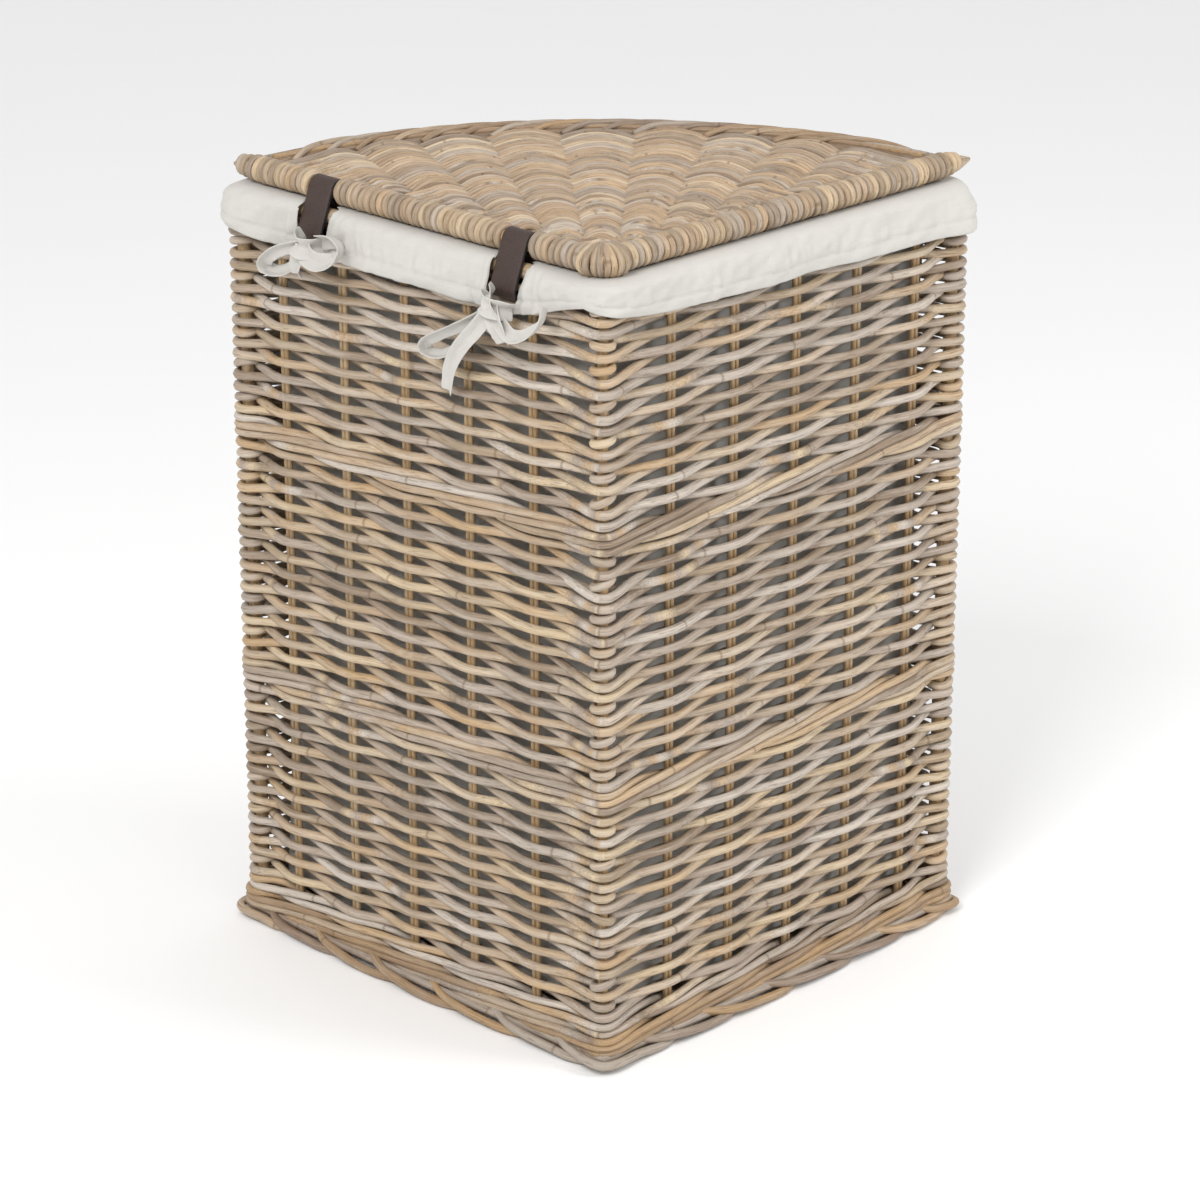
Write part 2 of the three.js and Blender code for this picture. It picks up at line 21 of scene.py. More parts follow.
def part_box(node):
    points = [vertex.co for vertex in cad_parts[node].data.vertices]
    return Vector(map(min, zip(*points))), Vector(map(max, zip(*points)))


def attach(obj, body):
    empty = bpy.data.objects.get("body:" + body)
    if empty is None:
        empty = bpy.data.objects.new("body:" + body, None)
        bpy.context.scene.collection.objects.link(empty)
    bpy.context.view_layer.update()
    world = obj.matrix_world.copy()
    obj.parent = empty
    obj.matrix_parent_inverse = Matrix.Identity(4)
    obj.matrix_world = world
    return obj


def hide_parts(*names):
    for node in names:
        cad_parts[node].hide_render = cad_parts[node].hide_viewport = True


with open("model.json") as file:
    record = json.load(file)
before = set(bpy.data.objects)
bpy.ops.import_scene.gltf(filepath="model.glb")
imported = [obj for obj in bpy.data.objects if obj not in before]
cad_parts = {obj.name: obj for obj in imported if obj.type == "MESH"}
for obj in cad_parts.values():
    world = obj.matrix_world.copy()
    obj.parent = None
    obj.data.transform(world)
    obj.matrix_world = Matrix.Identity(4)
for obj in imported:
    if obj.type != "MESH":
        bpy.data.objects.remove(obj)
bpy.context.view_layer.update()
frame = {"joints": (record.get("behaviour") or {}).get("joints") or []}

LOG = logging.getLogger("laundry_basket")
HALF = math.sqrt(0.5)
CORNER_ROUNDING = 0.014  # radius of the wall's three upright corners
STRAPS = (0.095, 0.301)  # from the sharp corner along the left wall to the middle of each strap
RNG = np.random.default_rng(41)
Socket = bpy.types.NodeSocket


class Side(Enum):
    """The two straight walls, by the sign of their x."""

    LEFT = -1
    RIGHT = 1


class Pass(Enum):
    """Which face of an upright a rod passes."""

    FRONT = 1
    BEHIND = -1


# ---- Plan ---------------------------------------------------------------------------------------


@dataclass
class Upright:
    """A stake or corner post.

    Args:
        name: the CAD node.
        centre: its place in plan.
        normal: the unit vector that points out of the wall there.
        before: the wall's outward unit vector just before a post.
        after: the wall's outward unit vector just after a post.
        radius: half its thickness across the wall.
        post: whether it is a corner post.
    """

    name: str
    centre: np.ndarray
    normal: np.ndarray
    before: np.ndarray
    after: np.ndarray
    radius: float
    post: bool


def unit(x: float, y: float) -> np.ndarray:
    """A unit vector in plan."""
    vector = np.array([x, y], float)
    return vector / np.linalg.norm(vector)


def node_centre(name: str) -> np.ndarray:
    """Middle of a CAD node's box."""
    low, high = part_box(name)
    return np.array((low + high) / 2)


@dataclass
class Plan:
    """The basket's quarter-circle plan, measured from the frame."""

    leg: float = 0.0
    corner_y: float = 0.0
    uprights: list = field(default_factory=list)

    def measure(self) -> "Plan":
        """Reads the plan from the middle band of weave and the uprights.

        Returns:
            The plan itself, filled in.
        """
        low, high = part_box("weave_middle")
        self.leg = high.y - low.y + CORNER_ROUNDING * (math.sqrt(2) - 1)
        self.corner_y = high.y - self.leg
        right, left, back = unit(1, -1), unit(-1, -1), unit(0, 1)
        names = ["corner_post_front"]
        names += [f"stake_right_{k}" for k in range(1, 6)] + ["corner_post_right"]
        names += [f"stake_arc_{k}" for k in range(1, 10)] + ["corner_post_left"]
        names += [f"stake_left_{k}" for k in range(5, 0, -1)]
        for name in names:
            centre = node_centre(name)[:2]
            out = unit(centre[0], centre[1] - self.corner_y)
            if name == "corner_post_front":
                upright = Upright(name, centre - back * 0.002, -back, left, right, 0.0040, True)
            elif name == "corner_post_right":
                upright = Upright(name, centre + (0.003, 0), unit(1, 0), right, out, 0.0055, True)
            elif name == "corner_post_left":
                upright = Upright(name, centre - (0.003, 0), unit(-1, 0), out, left, 0.0055, True)
            else:
                normal = right if "right" in name else left if "left" in name else out
                upright = Upright(name, centre, normal, normal, normal, 0.0021, False)
            self.uprights.append(upright)
        return self

    def beside(self, side: Side, along: float, inset: float) -> np.ndarray:
        """A place beside a straight wall.

        Args:
            side: the wall.
            along: distance from the sharp corner along the wall.
            inset: distance inside the wall's outer face.

        Returns:
            The place in plan.
        """
        return np.array([side.value * HALF * (along - inset), self.corner_y + HALF * (along + inset)])

    def polar(self, radius: float, lean: float) -> np.ndarray:
        """A place at a radius from the sharp corner, leaning from the bisector by some radians."""
        return np.array([radius * math.sin(lean), self.corner_y + radius * math.cos(lean)])

    def outline(self, inset: float, rounding: float, step: float) -> np.ndarray:
        """The quarter circle, `inset` inside the wall's outer face, with rounded corners.

        Args:
            inset: distance inside the outer face, negative outside it.
            rounding: radius of the three corners.
            step: spacing of the points, the same for every inset so that outlines can be joined.

        Returns:
            The points from the front corner round past the right wall, one row each.
        """
        reach = inset + rounding
        along = math.sqrt((self.leg - inset - rounding) ** 2 - reach**2)
        lean = math.atan2(reach, along)
        arc = self.leg - inset
        corner = max(int(0.03 / step), 6)
        straight = int(0.37 / step)
        curved = int(0.60 / step)

        def arc_points(centre: np.ndarray, radius: float, start: float, end: float, count: int) -> list:
            turns = np.linspace(start, end, count, endpoint=False)
            return [centre + radius * np.array([math.cos(t), math.sin(t)]) for t in turns]

        def line_points(start: np.ndarray, end: np.ndarray, count: int) -> list:
            return [start + (end - start) * t for t in np.linspace(0, 1, count, endpoint=False)]

        front = np.array([0, self.corner_y + reach * math.sqrt(2)])
        right_centre = self.beside(Side.RIGHT, along, reach)
        left_centre = self.beside(Side.LEFT, along, reach)
        out_right, out_left = unit(1, -1) * rounding, unit(-1, -1) * rounding
        quarter = math.pi / 4
        centre = np.array([0, self.corner_y])
        points = arc_points(front, rounding, -3 * quarter, -quarter, corner)
        points += line_points(front + out_right, right_centre + out_right, straight)
        points += arc_points(right_centre, rounding, -quarter, quarter + lean, corner)
        points += arc_points(centre, arc, quarter + lean, 3 * quarter - lean, curved)
        points += arc_points(left_centre, rounding, 3 * quarter - lean, 5 * quarter, corner)
        points += line_points(left_centre + out_left, front + out_left, straight)
        return np.array(points)


# ---- Rods: smooth paths swept into closed tubes --------------------------------------------------


def smooth_path(points: np.ndarray, samples: int, closed: bool) -> np.ndarray:
    """A smooth curve through points, with centripetal spacing so that it never loops between them.

    Args:
        points: the points to pass, one row each.
        samples: steps between two points.
        closed: whether the last point leads back to the first.

    Returns:
        The curve's points.
    """
    p = np.asarray(points, float)
    if closed:
        ring = np.vstack([p[-1], p, p[0], p[1]])
    else:
        ring = np.vstack([2 * p[0] - p[1], p, 2 * p[-1] - p[-2]])
    gaps = np.sqrt(np.linalg.norm(np.diff(ring, axis=0), axis=1)).clip(1e-5)[:, None]
    slope = np.diff(ring, axis=0) / gaps
    through = (ring[2:] - ring[:-2]) / (gaps[1:] + gaps[:-1])
    tangent = slope[:-1] - through + slope[1:]
    start, end = ring[1:-2], ring[2:-1]
    out, into = tangent[:-1] * gaps[1:-1], tangent[1:] * gaps[1:-1]
    t = (np.arange(samples) / samples)[None, :, None]
    blend = (2 * t**3 - 3 * t**2 + 1) * start[:, None] + (t**3 - 2 * t**2 + t) * out[:, None]
    blend = blend + (3 * t**2 - 2 * t**3) * end[:, None] + (t**3 - t**2) * into[:, None]
    curve = blend.reshape(-1, 3)
    return curve if closed else np.vstack([curve, p[-1]])


@dataclass
class Rod:
    """One rod of cane.

    Args:
        points: its centre line.
        radius: its radius, one number or one for each point.
        tone: its place in the finish's range of colours, one number or one for each point.
        closed: whether it is a ring.
    """

    points: np.ndarray
    radius: object
    tone: object
    closed: bool = False


def sweep(name: str, rods: list, material: bpy.types.Material, sides: int = 8) -> bpy.types.Object:
    """Sweeps rods into one mesh, with a UV map of distance along and share around, and each rod's tone.

    Args:
        name: the piece's name.
        rods: the rods.
        material: their finish.
        sides: faces round a rod, an even number.

    Returns:
        The piece.
    """
    curve = bpy.data.curves.new(name, "CURVE")
    curve.dimensions = "3D"
    curve.bevel_depth = 1.0
    curve.bevel_resolution = sides // 2 - 2
    tones, lengths = [], []
    for rod in rods:
        count = len(rod.points)
        spline = curve.splines.new("POLY")
        spline.points.add(count - 1)
        spline.points.foreach_set("co", np.hstack([rod.points, np.ones((count, 1))]).ravel())
        spline.points.foreach_set("radius", np.broadcast_to(np.asarray(rod.radius, float), count).copy())
        spline.use_cyclic_u = rod.closed
        tones.append(np.repeat(np.broadcast_to(np.asarray(rod.tone, float), count), sides))
        ends = np.vstack([rod.points, rod.points[:1]]) if rod.closed else rod.points
        steps = np.linalg.norm(np.diff(ends, axis=0), axis=1)
        lengths.append(np.concatenate([[0], np.cumsum(steps)]))
    holder = bpy.data.objects.new(name + "_path", curve)
    mesh = bpy.data.meshes.new_from_object(holder)
    bpy.data.objects.remove(holder)
    bpy.data.curves.remove(curve)
    mesh.name = name
    layer = mesh.uv_layers[0].data
    uv = np.zeros(len(layer) * 2)
    layer.foreach_get("uv", uv)
    uv = uv.reshape(-1, 2)
    start = 0
    for along in lengths:
        spans = len(along) - 1
        end = start + spans * sides * 4
        uv[start:end, 0] = along[np.rint(uv[start:end, 0] * spans).astype(int)]
        start = end
    layer.foreach_set("uv", uv.ravel())
    tone = mesh.attributes.new("tone", "FLOAT", "POINT")
    tone.data.foreach_set("value", np.concatenate(tones))
    with editing(mesh) as body:
        bmesh.ops.holes_fill(body, edges=[e for e in body.edges if e.is_boundary], sides=sides)
        for face in body.faces:
            face.smooth = len(face.verts) == 4
    mesh.materials.clear()
    mesh.materials.append(material)
    return add_object(name, mesh)


def add_object(name: str, data: bpy.types.ID) -> bpy.types.Object:
    """A new object in the scene."""
    made = bpy.data.objects.new(name, data)
    bpy.context.scene.collection.objects.link(made)
    return made


def add_mesh(name: str, body: bmesh.types.BMesh, material: bpy.types.Material) -> bpy.types.Object:
    """A new piece made of a finished bmesh, which is freed."""
    mesh = bpy.data.meshes.new(name)
    body.to_mesh(mesh)
    body.free()
    mesh.materials.append(material)
    return add_object(name, mesh)


@contextmanager
def editing(mesh: bpy.types.Mesh) -> Iterator[bmesh.types.BMesh]:
    """Opens a mesh for bmesh operators and puts the result back."""
    body = bmesh.new()
    body.from_mesh(mesh)
    yield body
    body.to_mesh(mesh)
    body.free()


def thicken(piece: bpy.types.Object, thickness: float) -> None:
    """Gives a sheet of cloth its thickness, half to each side."""
    cloth = piece.modifiers.new("cloth", "SOLIDIFY")
    cloth.thickness = thickness
    cloth.offset = 0.0


def placed_grid(
    name: str, places: np.ndarray, material: bpy.types.Material, wrap: bool
) -> bpy.types.Object:
    """A sheet of quads through a net of places.

    Args:
        name: the piece's name.
        places: the net, shaped rows x columns x 3.
        material: its finish.
        wrap: whether the last column meets the first, where the seam is then closed.

    Returns:
        The piece, with a UV map of its row and column distances in metres.
    """
    rows, columns = places.shape[:2]
    body = bmesh.new()
    made = bmesh.ops.create_grid(body, x_segments=columns - 1, y_segments=rows - 1, size=1.0)
    flat = places.reshape(-1, 3)
    for vertex, place in zip(made["verts"], flat):
        vertex.co = place
    across = np.linalg.norm(np.diff(places, axis=1), axis=2).mean(axis=0)
    down = np.linalg.norm(np.diff(places, axis=0), axis=2).mean(axis=1)
    u = np.concatenate([[0], np.cumsum(across)])
    v = np.concatenate([[0], np.cumsum(down)])
    layer = body.loops.layers.uv.new("UVMap")
    for face in body.faces:
        face.smooth = True
        for loop in face.loops:
            row, column = divmod(loop.vert.index, columns)
            loop[layer].uv = (u[column], v[row])
    if wrap:
        bmesh.ops.remove_doubles(body, verts=body.verts, dist=1e-5)
    return add_mesh(name, body, material)


def ride(piece: bpy.types.Object, body: str, slot: str, *nodes: str) -> bpy.types.Object:
    """Fastens a piece to a body in place of its CAD nodes, and reports it."""
    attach(piece, body)
    if nodes:
        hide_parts(*nodes)
    LOG.info("%s: %d faces on %s", piece.name, len(piece.data.polygons), body)
    return piece


# ---- Finishes -----------------------------------------------------------------------------------


def linear(red: int, green: int, blue: int) -> tuple:
    """A screen colour, 0 to 255 a channel, as the shader's linear colour."""

    def channel(value: int) -> float:
        share = value / 255
        return share / 12.92 if share <= 0.04045 else ((share + 0.055) / 1.055) ** 2.4

    return (channel(red), channel(green), channel(blue), 1.0)


class Nodes:
    """Short ways to add and link nodes in one node tree."""

    def __init__(self, tree: bpy.types.NodeTree) -> None:
        """Keeps the tree."""
        self.tree = tree

    def add(self, kind: str, inputs: dict | None = None, **settings: object) -> bpy.types.Node:
        """Adds a node.

        Args:
            kind: the node's type name.
            inputs: values or sockets for its inputs, by name or index.
            settings: values for the node's own properties.

        Returns:
            The node.
        """
        node = self.tree.nodes.new(kind)
        for name, value in settings.items():
            setattr(node, name, value)
        for name, value in (inputs or {}).items():
            if isinstance(value, Socket):
                self.tree.links.new(value, node.inputs[name])
            else:
                node.inputs[name].default_value = value
        return node

    def math(self, operation: str, first: object, second: object = 0.0) -> Socket:
        """The result of one sum on two values or sockets."""
        return self.add("ShaderNodeMath", {0: first, 1: second}, operation=operation).outputs[0]

    def noise(self, vector: Socket, scale: float, detail: float = 3.0) -> Socket:
        """Noise from 0 to 1 at a vector."""
        inputs = {"Vector": vector, "Scale": scale, "Detail": detail, "Roughness": 0.6}
        return self.add("ShaderNodeTexNoise", inputs).outputs["Fac"]

    def mix(self, blend: str, factor: object, first: object, second: object) -> Socket:
        """Two colours mixed."""
        inputs = {0: factor, 6: first, 7: second}
        return self.add("ShaderNodeMix", inputs, data_type="RGBA", blend_type=blend).outputs[2]

    def span(self, value: object, low: float, high: float, to_low: float, to_high: float) -> Socket:
        """A value moved from one range to another, and kept inside it."""
        inputs = {"Value": value, "From Min": low, "From Max": high, "To Min": to_low, "To Max": to_high}
        return self.add("ShaderNodeMapRange", inputs).outputs[0]


def blank_material(name: str) -> tuple[bpy.types.Material, Nodes]:
    """A material with no nodes yet, and the means to add them."""
    made = bpy.data.materials.new(name)
    made.use_nodes = True
    made.node_tree.nodes.clear()
    return made, Nodes(made.node_tree)


def cane_group() -> bpy.types.NodeTree:
    """The grain of cane, shared by every rattan finish.

    Returns:
        A group that turns a UV map and a tone into streaks, growth rings, bloom and a height.
    """
    group = bpy.data.node_groups.new("Cane grain", "ShaderNodeTree")
    sockets = group.interface
    sockets.new_socket("UV", in_out="INPUT", socket_type="NodeSocketVector")
    sockets.new_socket("Tone", in_out="INPUT", socket_type="NodeSocketFloat")
    for name in ("Streaks", "Rings", "Bloom", "Marks", "Height"):
        sockets.new_socket(name, in_out="OUTPUT", socket_type="NodeSocketFloat")
    net = Nodes(group)
    inputs = net.add("NodeGroupInput")
    parts = net.add("ShaderNodeSeparateXYZ", {0: inputs.outputs["UV"]})
    along, around = parts.outputs[0], parts.outputs[1]
    turn = net.math("MULTIPLY", around, 2 * math.pi)
    shift = net.math("MULTIPLY", inputs.outputs["Tone"], 57.0)
    fibre_length = net.math("MULTIPLY_ADD", along, 14.0)
    net.tree.links.new(shift, fibre_length.node.inputs[2])
    side = net.math("MULTIPLY", net.math("COSINE", turn), 2.4)
    face = net.math("MULTIPLY", net.math("SINE", turn), 2.4)
    fibre = net.add("ShaderNodeCombineXYZ", {0: fibre_length, 1: side, 2: face}).outputs[0]
    streaks = net.noise(fibre, 1.6, 5.0)
    patch_length = net.math("ADD", net.math("MULTIPLY", along, 22.0), shift)
    patch_side = net.math("MULTIPLY", side, 0.35)
    patch = net.add("ShaderNodeCombineXYZ", {0: patch_length, 1: patch_side}).outputs[0]
    bloom = net.noise(patch, 1.0, 4.0)
    ring_shift = net.math("MULTIPLY", shift, 1.7)
    ring_place = net.math("FRACT", net.math("ADD", net.math("MULTIPLY", along, 3.1), ring_shift))
    ring = net.math("ABSOLUTE", net.math("SUBTRACT", ring_place, 0.5))
    rings = net.span(ring, 0.0015, 0.0050, 1.0, 0.0)
    mark_length = net.math("ADD", net.math("MULTIPLY", along, 75.0), shift)
    mark = net.add("ShaderNodeCombineXYZ", {0: mark_length, 1: side, 2: face}).outputs[0]
    marks = net.span(net.noise(mark, 1.0, 6.0), 0.54, 0.70, 0.0, 1.0)
    fine = net.noise(fibre, 9.0, 3.0)
    height = net.math("ADD", net.math("MULTIPLY", streaks, 0.7), net.math("MULTIPLY", fine, 0.3))
    height = net.math("SUBTRACT", height, net.math("MULTIPLY", net.math("ADD", rings, marks), 0.4))
    results = {"Streaks": streaks, "Rings": rings, "Bloom": bloom, "Marks": marks, "Height": height}
    net.add("NodeGroupOutput", results)
    return group


@dataclass(frozen=True)
class CaneFinish:
    """Dry rattan cane.

    Args:
        name: the material's name.
        tones: screen colours from one end of the rods' range to the other.
        bloom: the chalky colour that weather leaves in patches.
        mark: colour of the dark scuffs.
        ring: colour of the growth rings.
        bloom_share: how strongly it shows.
        gloss: roughness of the skin.
    """

    name: str
    tones: tuple
    bloom: tuple = (197, 187, 174)
    mark: tuple = (108, 86, 66)
    ring: tuple = (104, 78, 56)
    bloom_share: float = 0.55
    gloss: float = 0.40

    def material(self, grain: bpy.types.NodeTree) -> bpy.types.Material:
        """Builds the finish.

        Args:
            grain: the shared cane group.

        Returns:
            The material.
        """
        made, net = blank_material(self.name)
        uv = net.add("ShaderNodeUVMap", uv_map="UVMap").outputs[0]
        tone = net.add("ShaderNodeAttribute", attribute_name="tone").outputs["Fac"]
        cane = net.add("ShaderNodeGroup", node_tree=grain)
        net.tree.links.new(uv, cane.inputs["UV"])
        net.tree.links.new(tone, cane.inputs["Tone"])
        ramp = net.add("ShaderNodeValToRGB", {0: tone})
        stops = ramp.color_ramp.elements
        for number, colour in enumerate(self.tones):
            place = number / (len(self.tones) - 1)
            stop = stops[0] if place == 0 else stops[-1] if place == 1 else stops.new(place)
            stop.color = linear(*colour)
        streaks, rings = cane.outputs["Streaks"], cane.outputs["Rings"]
        shade = net.span(streaks, 0.3, 0.72, 0.66, 1.18)
        streaked = net.mix("MULTIPLY", 1.0, ramp.outputs[0], shade)
        chalk = net.span(cane.outputs["Bloom"], 0.46, 0.72, 0.0, self.bloom_share)
        bloomed = net.mix("MIX", chalk, streaked, linear(*self.bloom))
        scuffs = net.math("MULTIPLY", cane.outputs["Marks"], 0.62)
        marked = net.mix("MIX", scuffs, bloomed, linear(*self.mark))
        colour = net.mix("MIX", net.math("MULTIPLY", rings, 0.5), marked, linear(*self.ring))
        rough = net.span(streaks, 0.3, 0.7, self.gloss + 0.12, self.gloss - 0.06)
        relief = {"Strength": 0.7, "Distance": 0.0006, "Height": cane.outputs["Height"]}
        bump = net.add("ShaderNodeBump", relief)
        inputs = {"Base Color": colour, "Roughness": rough, "Normal": bump.outputs[0]}
        shader = net.add("ShaderNodeBsdfPrincipled", inputs)
        shader.inputs["Specular IOR Level"].default_value = 0.45
        net.add("ShaderNodeOutputMaterial", {"Surface": shader.outputs[0]})
        return made


@dataclass(frozen=True)
class ClothFinish:
    """Plain-woven cotton.

    Args:
        name: the material's name.
        colour: its screen colour.
        threads: threads in a metre.
    """

    name: str
    colour: tuple = (207, 204, 198)
    threads: float = 1500.0

    def material(self) -> bpy.types.Material:
        """Builds the finish: crossing threads, slubs and faint creases.

        Returns:
            The material.
        """
        made, net = blank_material(self.name)
        uv = net.add("ShaderNodeUVMap", uv_map="UVMap").outputs[0]
        place = net.add("ShaderNodeTexCoord").outputs["Object"]
        parts = net.add("ShaderNodeSeparateXYZ", {0: uv})
        waves = []
        for axis in (0, 1):
            angle = net.math("MULTIPLY", parts.outputs[axis], self.threads * math.pi)
            waves.append(net.math("ABSOLUTE", net.math("SINE", angle)))
        weave = net.math("MULTIPLY", waves[0], waves[1])
        thread = net.add("ShaderNodeMapping", {"Vector": uv, "Scale": (60, 900, 1)}).outputs[0]
        slubs = net.noise(thread, 1.0)
        creases = net.noise(place, 55.0, 4.0)
        height = net.math("ADD", net.math("MULTIPLY", weave, 0.25), net.math("MULTIPLY", slubs, 0.25))
        height = net.math("ADD", height, net.math("MULTIPLY", creases, 2.2))
        thread_shade = net.span(weave, 0.0, 1.0, 0.94, 1.0)
        shade = net.math("MULTIPLY", net.span(slubs, 0.3, 0.7, 0.955, 1.01), thread_shade)
        colour = net.mix("MULTIPLY", 1.0, linear(*self.colour), shade)
        bump = net.add("ShaderNodeBump", {"Strength": 0.45, "Distance": 0.0012, "Height": height})
        inputs = {"Base Color": colour, "Roughness": 0.93, "Normal": bump.outputs[0]}
        inputs |= {"Specular IOR Level": 0.2, "Sheen Weight": 0.15}
        shader = net.add("ShaderNodeBsdfPrincipled", inputs)
        net.add("ShaderNodeOutputMaterial", {"Surface": shader.outputs[0]})
        return made


@dataclass(frozen=True)
class LeatherFinish:
    """Soft brown leather with a fine grain.

    Args:
        name: the material's name.
        colour: screen colour of the face.
        crease: screen colour down in the grain.
        gloss: its roughness.
    """

    name: str
    colour: tuple = (72, 52, 44)
    crease: tuple = (46, 33, 28)
    gloss: float = 0.5

    def material(self) -> bpy.types.Material:
        """Builds the finish.

        Returns:
            The material.
        """
        made, net = blank_material(self.name)
        place = net.add("ShaderNodeTexCoord").outputs["Object"]
        inputs = {"Vector": place, "Scale": 900.0}
        cells = net.add("ShaderNodeTexVoronoi", inputs, feature="DISTANCE_TO_EDGE")
        grain = net.span(cells.outputs[0], 0.0, 0.22, 0.0, 1.0)
        wear = net.noise(place, 70.0, 4.0)
        mixed = net.mix("MIX", grain, linear(*self.crease), linear(*self.colour))
        colour = net.mix("MULTIPLY", 1.0, mixed, net.span(wear, 0.3, 0.7, 0.82, 1.14))
        height = net.math("ADD", grain, net.math("MULTIPLY", wear, 0.8))
        bump = net.add("ShaderNodeBump", {"Strength": 0.5, "Distance": 0.0003, "Height": height})
        rough = net.span(wear, 0.3, 0.7, self.gloss - 0.05, self.gloss + 0.1)
        inputs = {"Base Color": colour, "Roughness": rough, "Normal": bump.outputs[0]}
        shader = net.add("ShaderNodeBsdfPrincipled", inputs)
        net.add("ShaderNodeOutputMaterial", {"Surface": shader.outputs[0]})
        return made


@dataclass
class Finishes:
    """Every finish of the basket, built once."""

    weave: bpy.types.Material
    stake: bpy.types.Material
    border: bpy.types.Material
    lid: bpy.types.Material
    winding: bpy.types.Material
    cotton: bpy.types.Material
    leather: bpy.types.Material
    leather_edge: bpy.types.Material


WEAVE_TONES = (
    (176, 160, 142),
    (198, 170, 134),
    (158, 142, 126),
    (206, 195, 182),
    (190, 160, 122),
    (172, 157, 144),
    (212, 190, 156),
    (144, 124, 104),
    (194, 178, 162),
)
STAKE_TONES = ((200, 170, 128), (184, 152, 110), (208, 182, 142))
BORDER_TONES = ((156, 130, 102), (180, 148, 108), (142, 118, 98), (172, 160, 146), (188, 154, 112))
LID_TONES = (
    (186, 158, 128),
    (160, 142, 124),
    (206, 176, 140),
    (140, 118, 96),
    (202, 188, 172),
    (176, 148, 118),
    (212, 190, 160),
)
WINDING_TONES = ((192, 164, 130), (164, 142, 118), (206, 182, 148), (148, 128, 106), (186, 170, 152))


# ---- Wall ---------------------------------------------------------------------------------------


@dataclass
class Weaver:
    """Turns a rod's passes in front of and behind the uprights into its path.

    Args:
        plan: the basket's plan.
        rod_radius: radius of the rods.
        settle: how far a rod drops in front of an upright, and rises behind one.
    """

    plan: Plan
    rod_radius: float = 0.0035
    settle: float = 0.0009

    def drift(self, upright: int, height: float) -> float:
        """The slow wander of the courses up and down, the same for neighbouring rods."""
        return 0.0012 * noise.noise(Vector((upright * 0.35, height * 9, 3.1)))

    def ring(self, passes: list, heights: list, reach: float = 0.0, lean: float = 0.0) -> np.ndarray:
        """A rod once round the basket.

        Args:
            passes: a Pass for each upright.
            heights: the rod's height at each upright.
            reach: how much further out than usual it lies.
            lean: how far it stands above its course where it turns in, less where it comes out.

        Returns:
            The control points of its path.
        """
        points = []
        uprights = self.plan.uprights
        for number, upright in enumerate(uprights):
            following = (number + 1) % len(uprights)
            passed = passes[number]
            level = heights[number] - passed.value * self.settle
            clear = upright.radius + self.rod_radius * (0.8 if upright.post else 1)
            if upright.post and passed is Pass.FRONT:
                for out in (upright.before, upright.normal, upright.after):
                    place = upright.centre + out * (clear + reach)
                    points.append([*place, level])
            elif passed is Pass.FRONT:
                points.append([*(upright.centre + upright.normal * (clear + reach)), level])
            else:
                points.append([*(upright.centre - upright.normal * clear), level])
            next_upright = uprights[following]
            middle = (upright.centre + next_upright.centre) / 2
            between = (heights[number] + heights[following]) / 2
            turning = passed.value - passes[following].value
            outward = upright.after * (reach + (0.0 if turning else passed.value * clear * 0.9))
            points.append([*(middle + outward), between + lean * turning / 2])
        return np.array(points)


def tones_along(count: int, pieces: int) -> np.ndarray:
    """Tones for a long rod that is made of a few pieces of cane, one after another."""
    cuts = np.sort(RNG.integers(0, count, pieces - 1))
    tones = RNG.random(pieces)[np.searchsorted(cuts, np.arange(count), side="right")]
    return np.convolve(np.pad(tones, 3, mode="wrap"), np.full(7, 1 / 7), mode="valid")


def uneven(count: int, radius: float, share: float = 0.07) -> np.ndarray:
    """Radii of a natural rod, which swell and thin along it."""
    seed = RNG.random() * 50
    own = radius * (1 + RNG.normal(0, share * 0.6))
    wave = np.array([noise.noise(Vector((seed, k * 0.11, 0))) for k in range(count)])
    return own * (1 + share * wave)


def long_rod(points: np.ndarray, radius: float, pieces: int, closed: bool = True, share: float = 0.07) -> Rod:
    """A long rod, pieced together from several canes."""
    count = len(points)
    return Rod(points, uneven(count, radius, share), tones_along(count, pieces), closed)


def short_rod(points: np.ndarray, radius: float, share: float = 0.07) -> Rod:
    """A rod cut from one cane."""
    return Rod(points, uneven(len(points), radius, share), RNG.random())


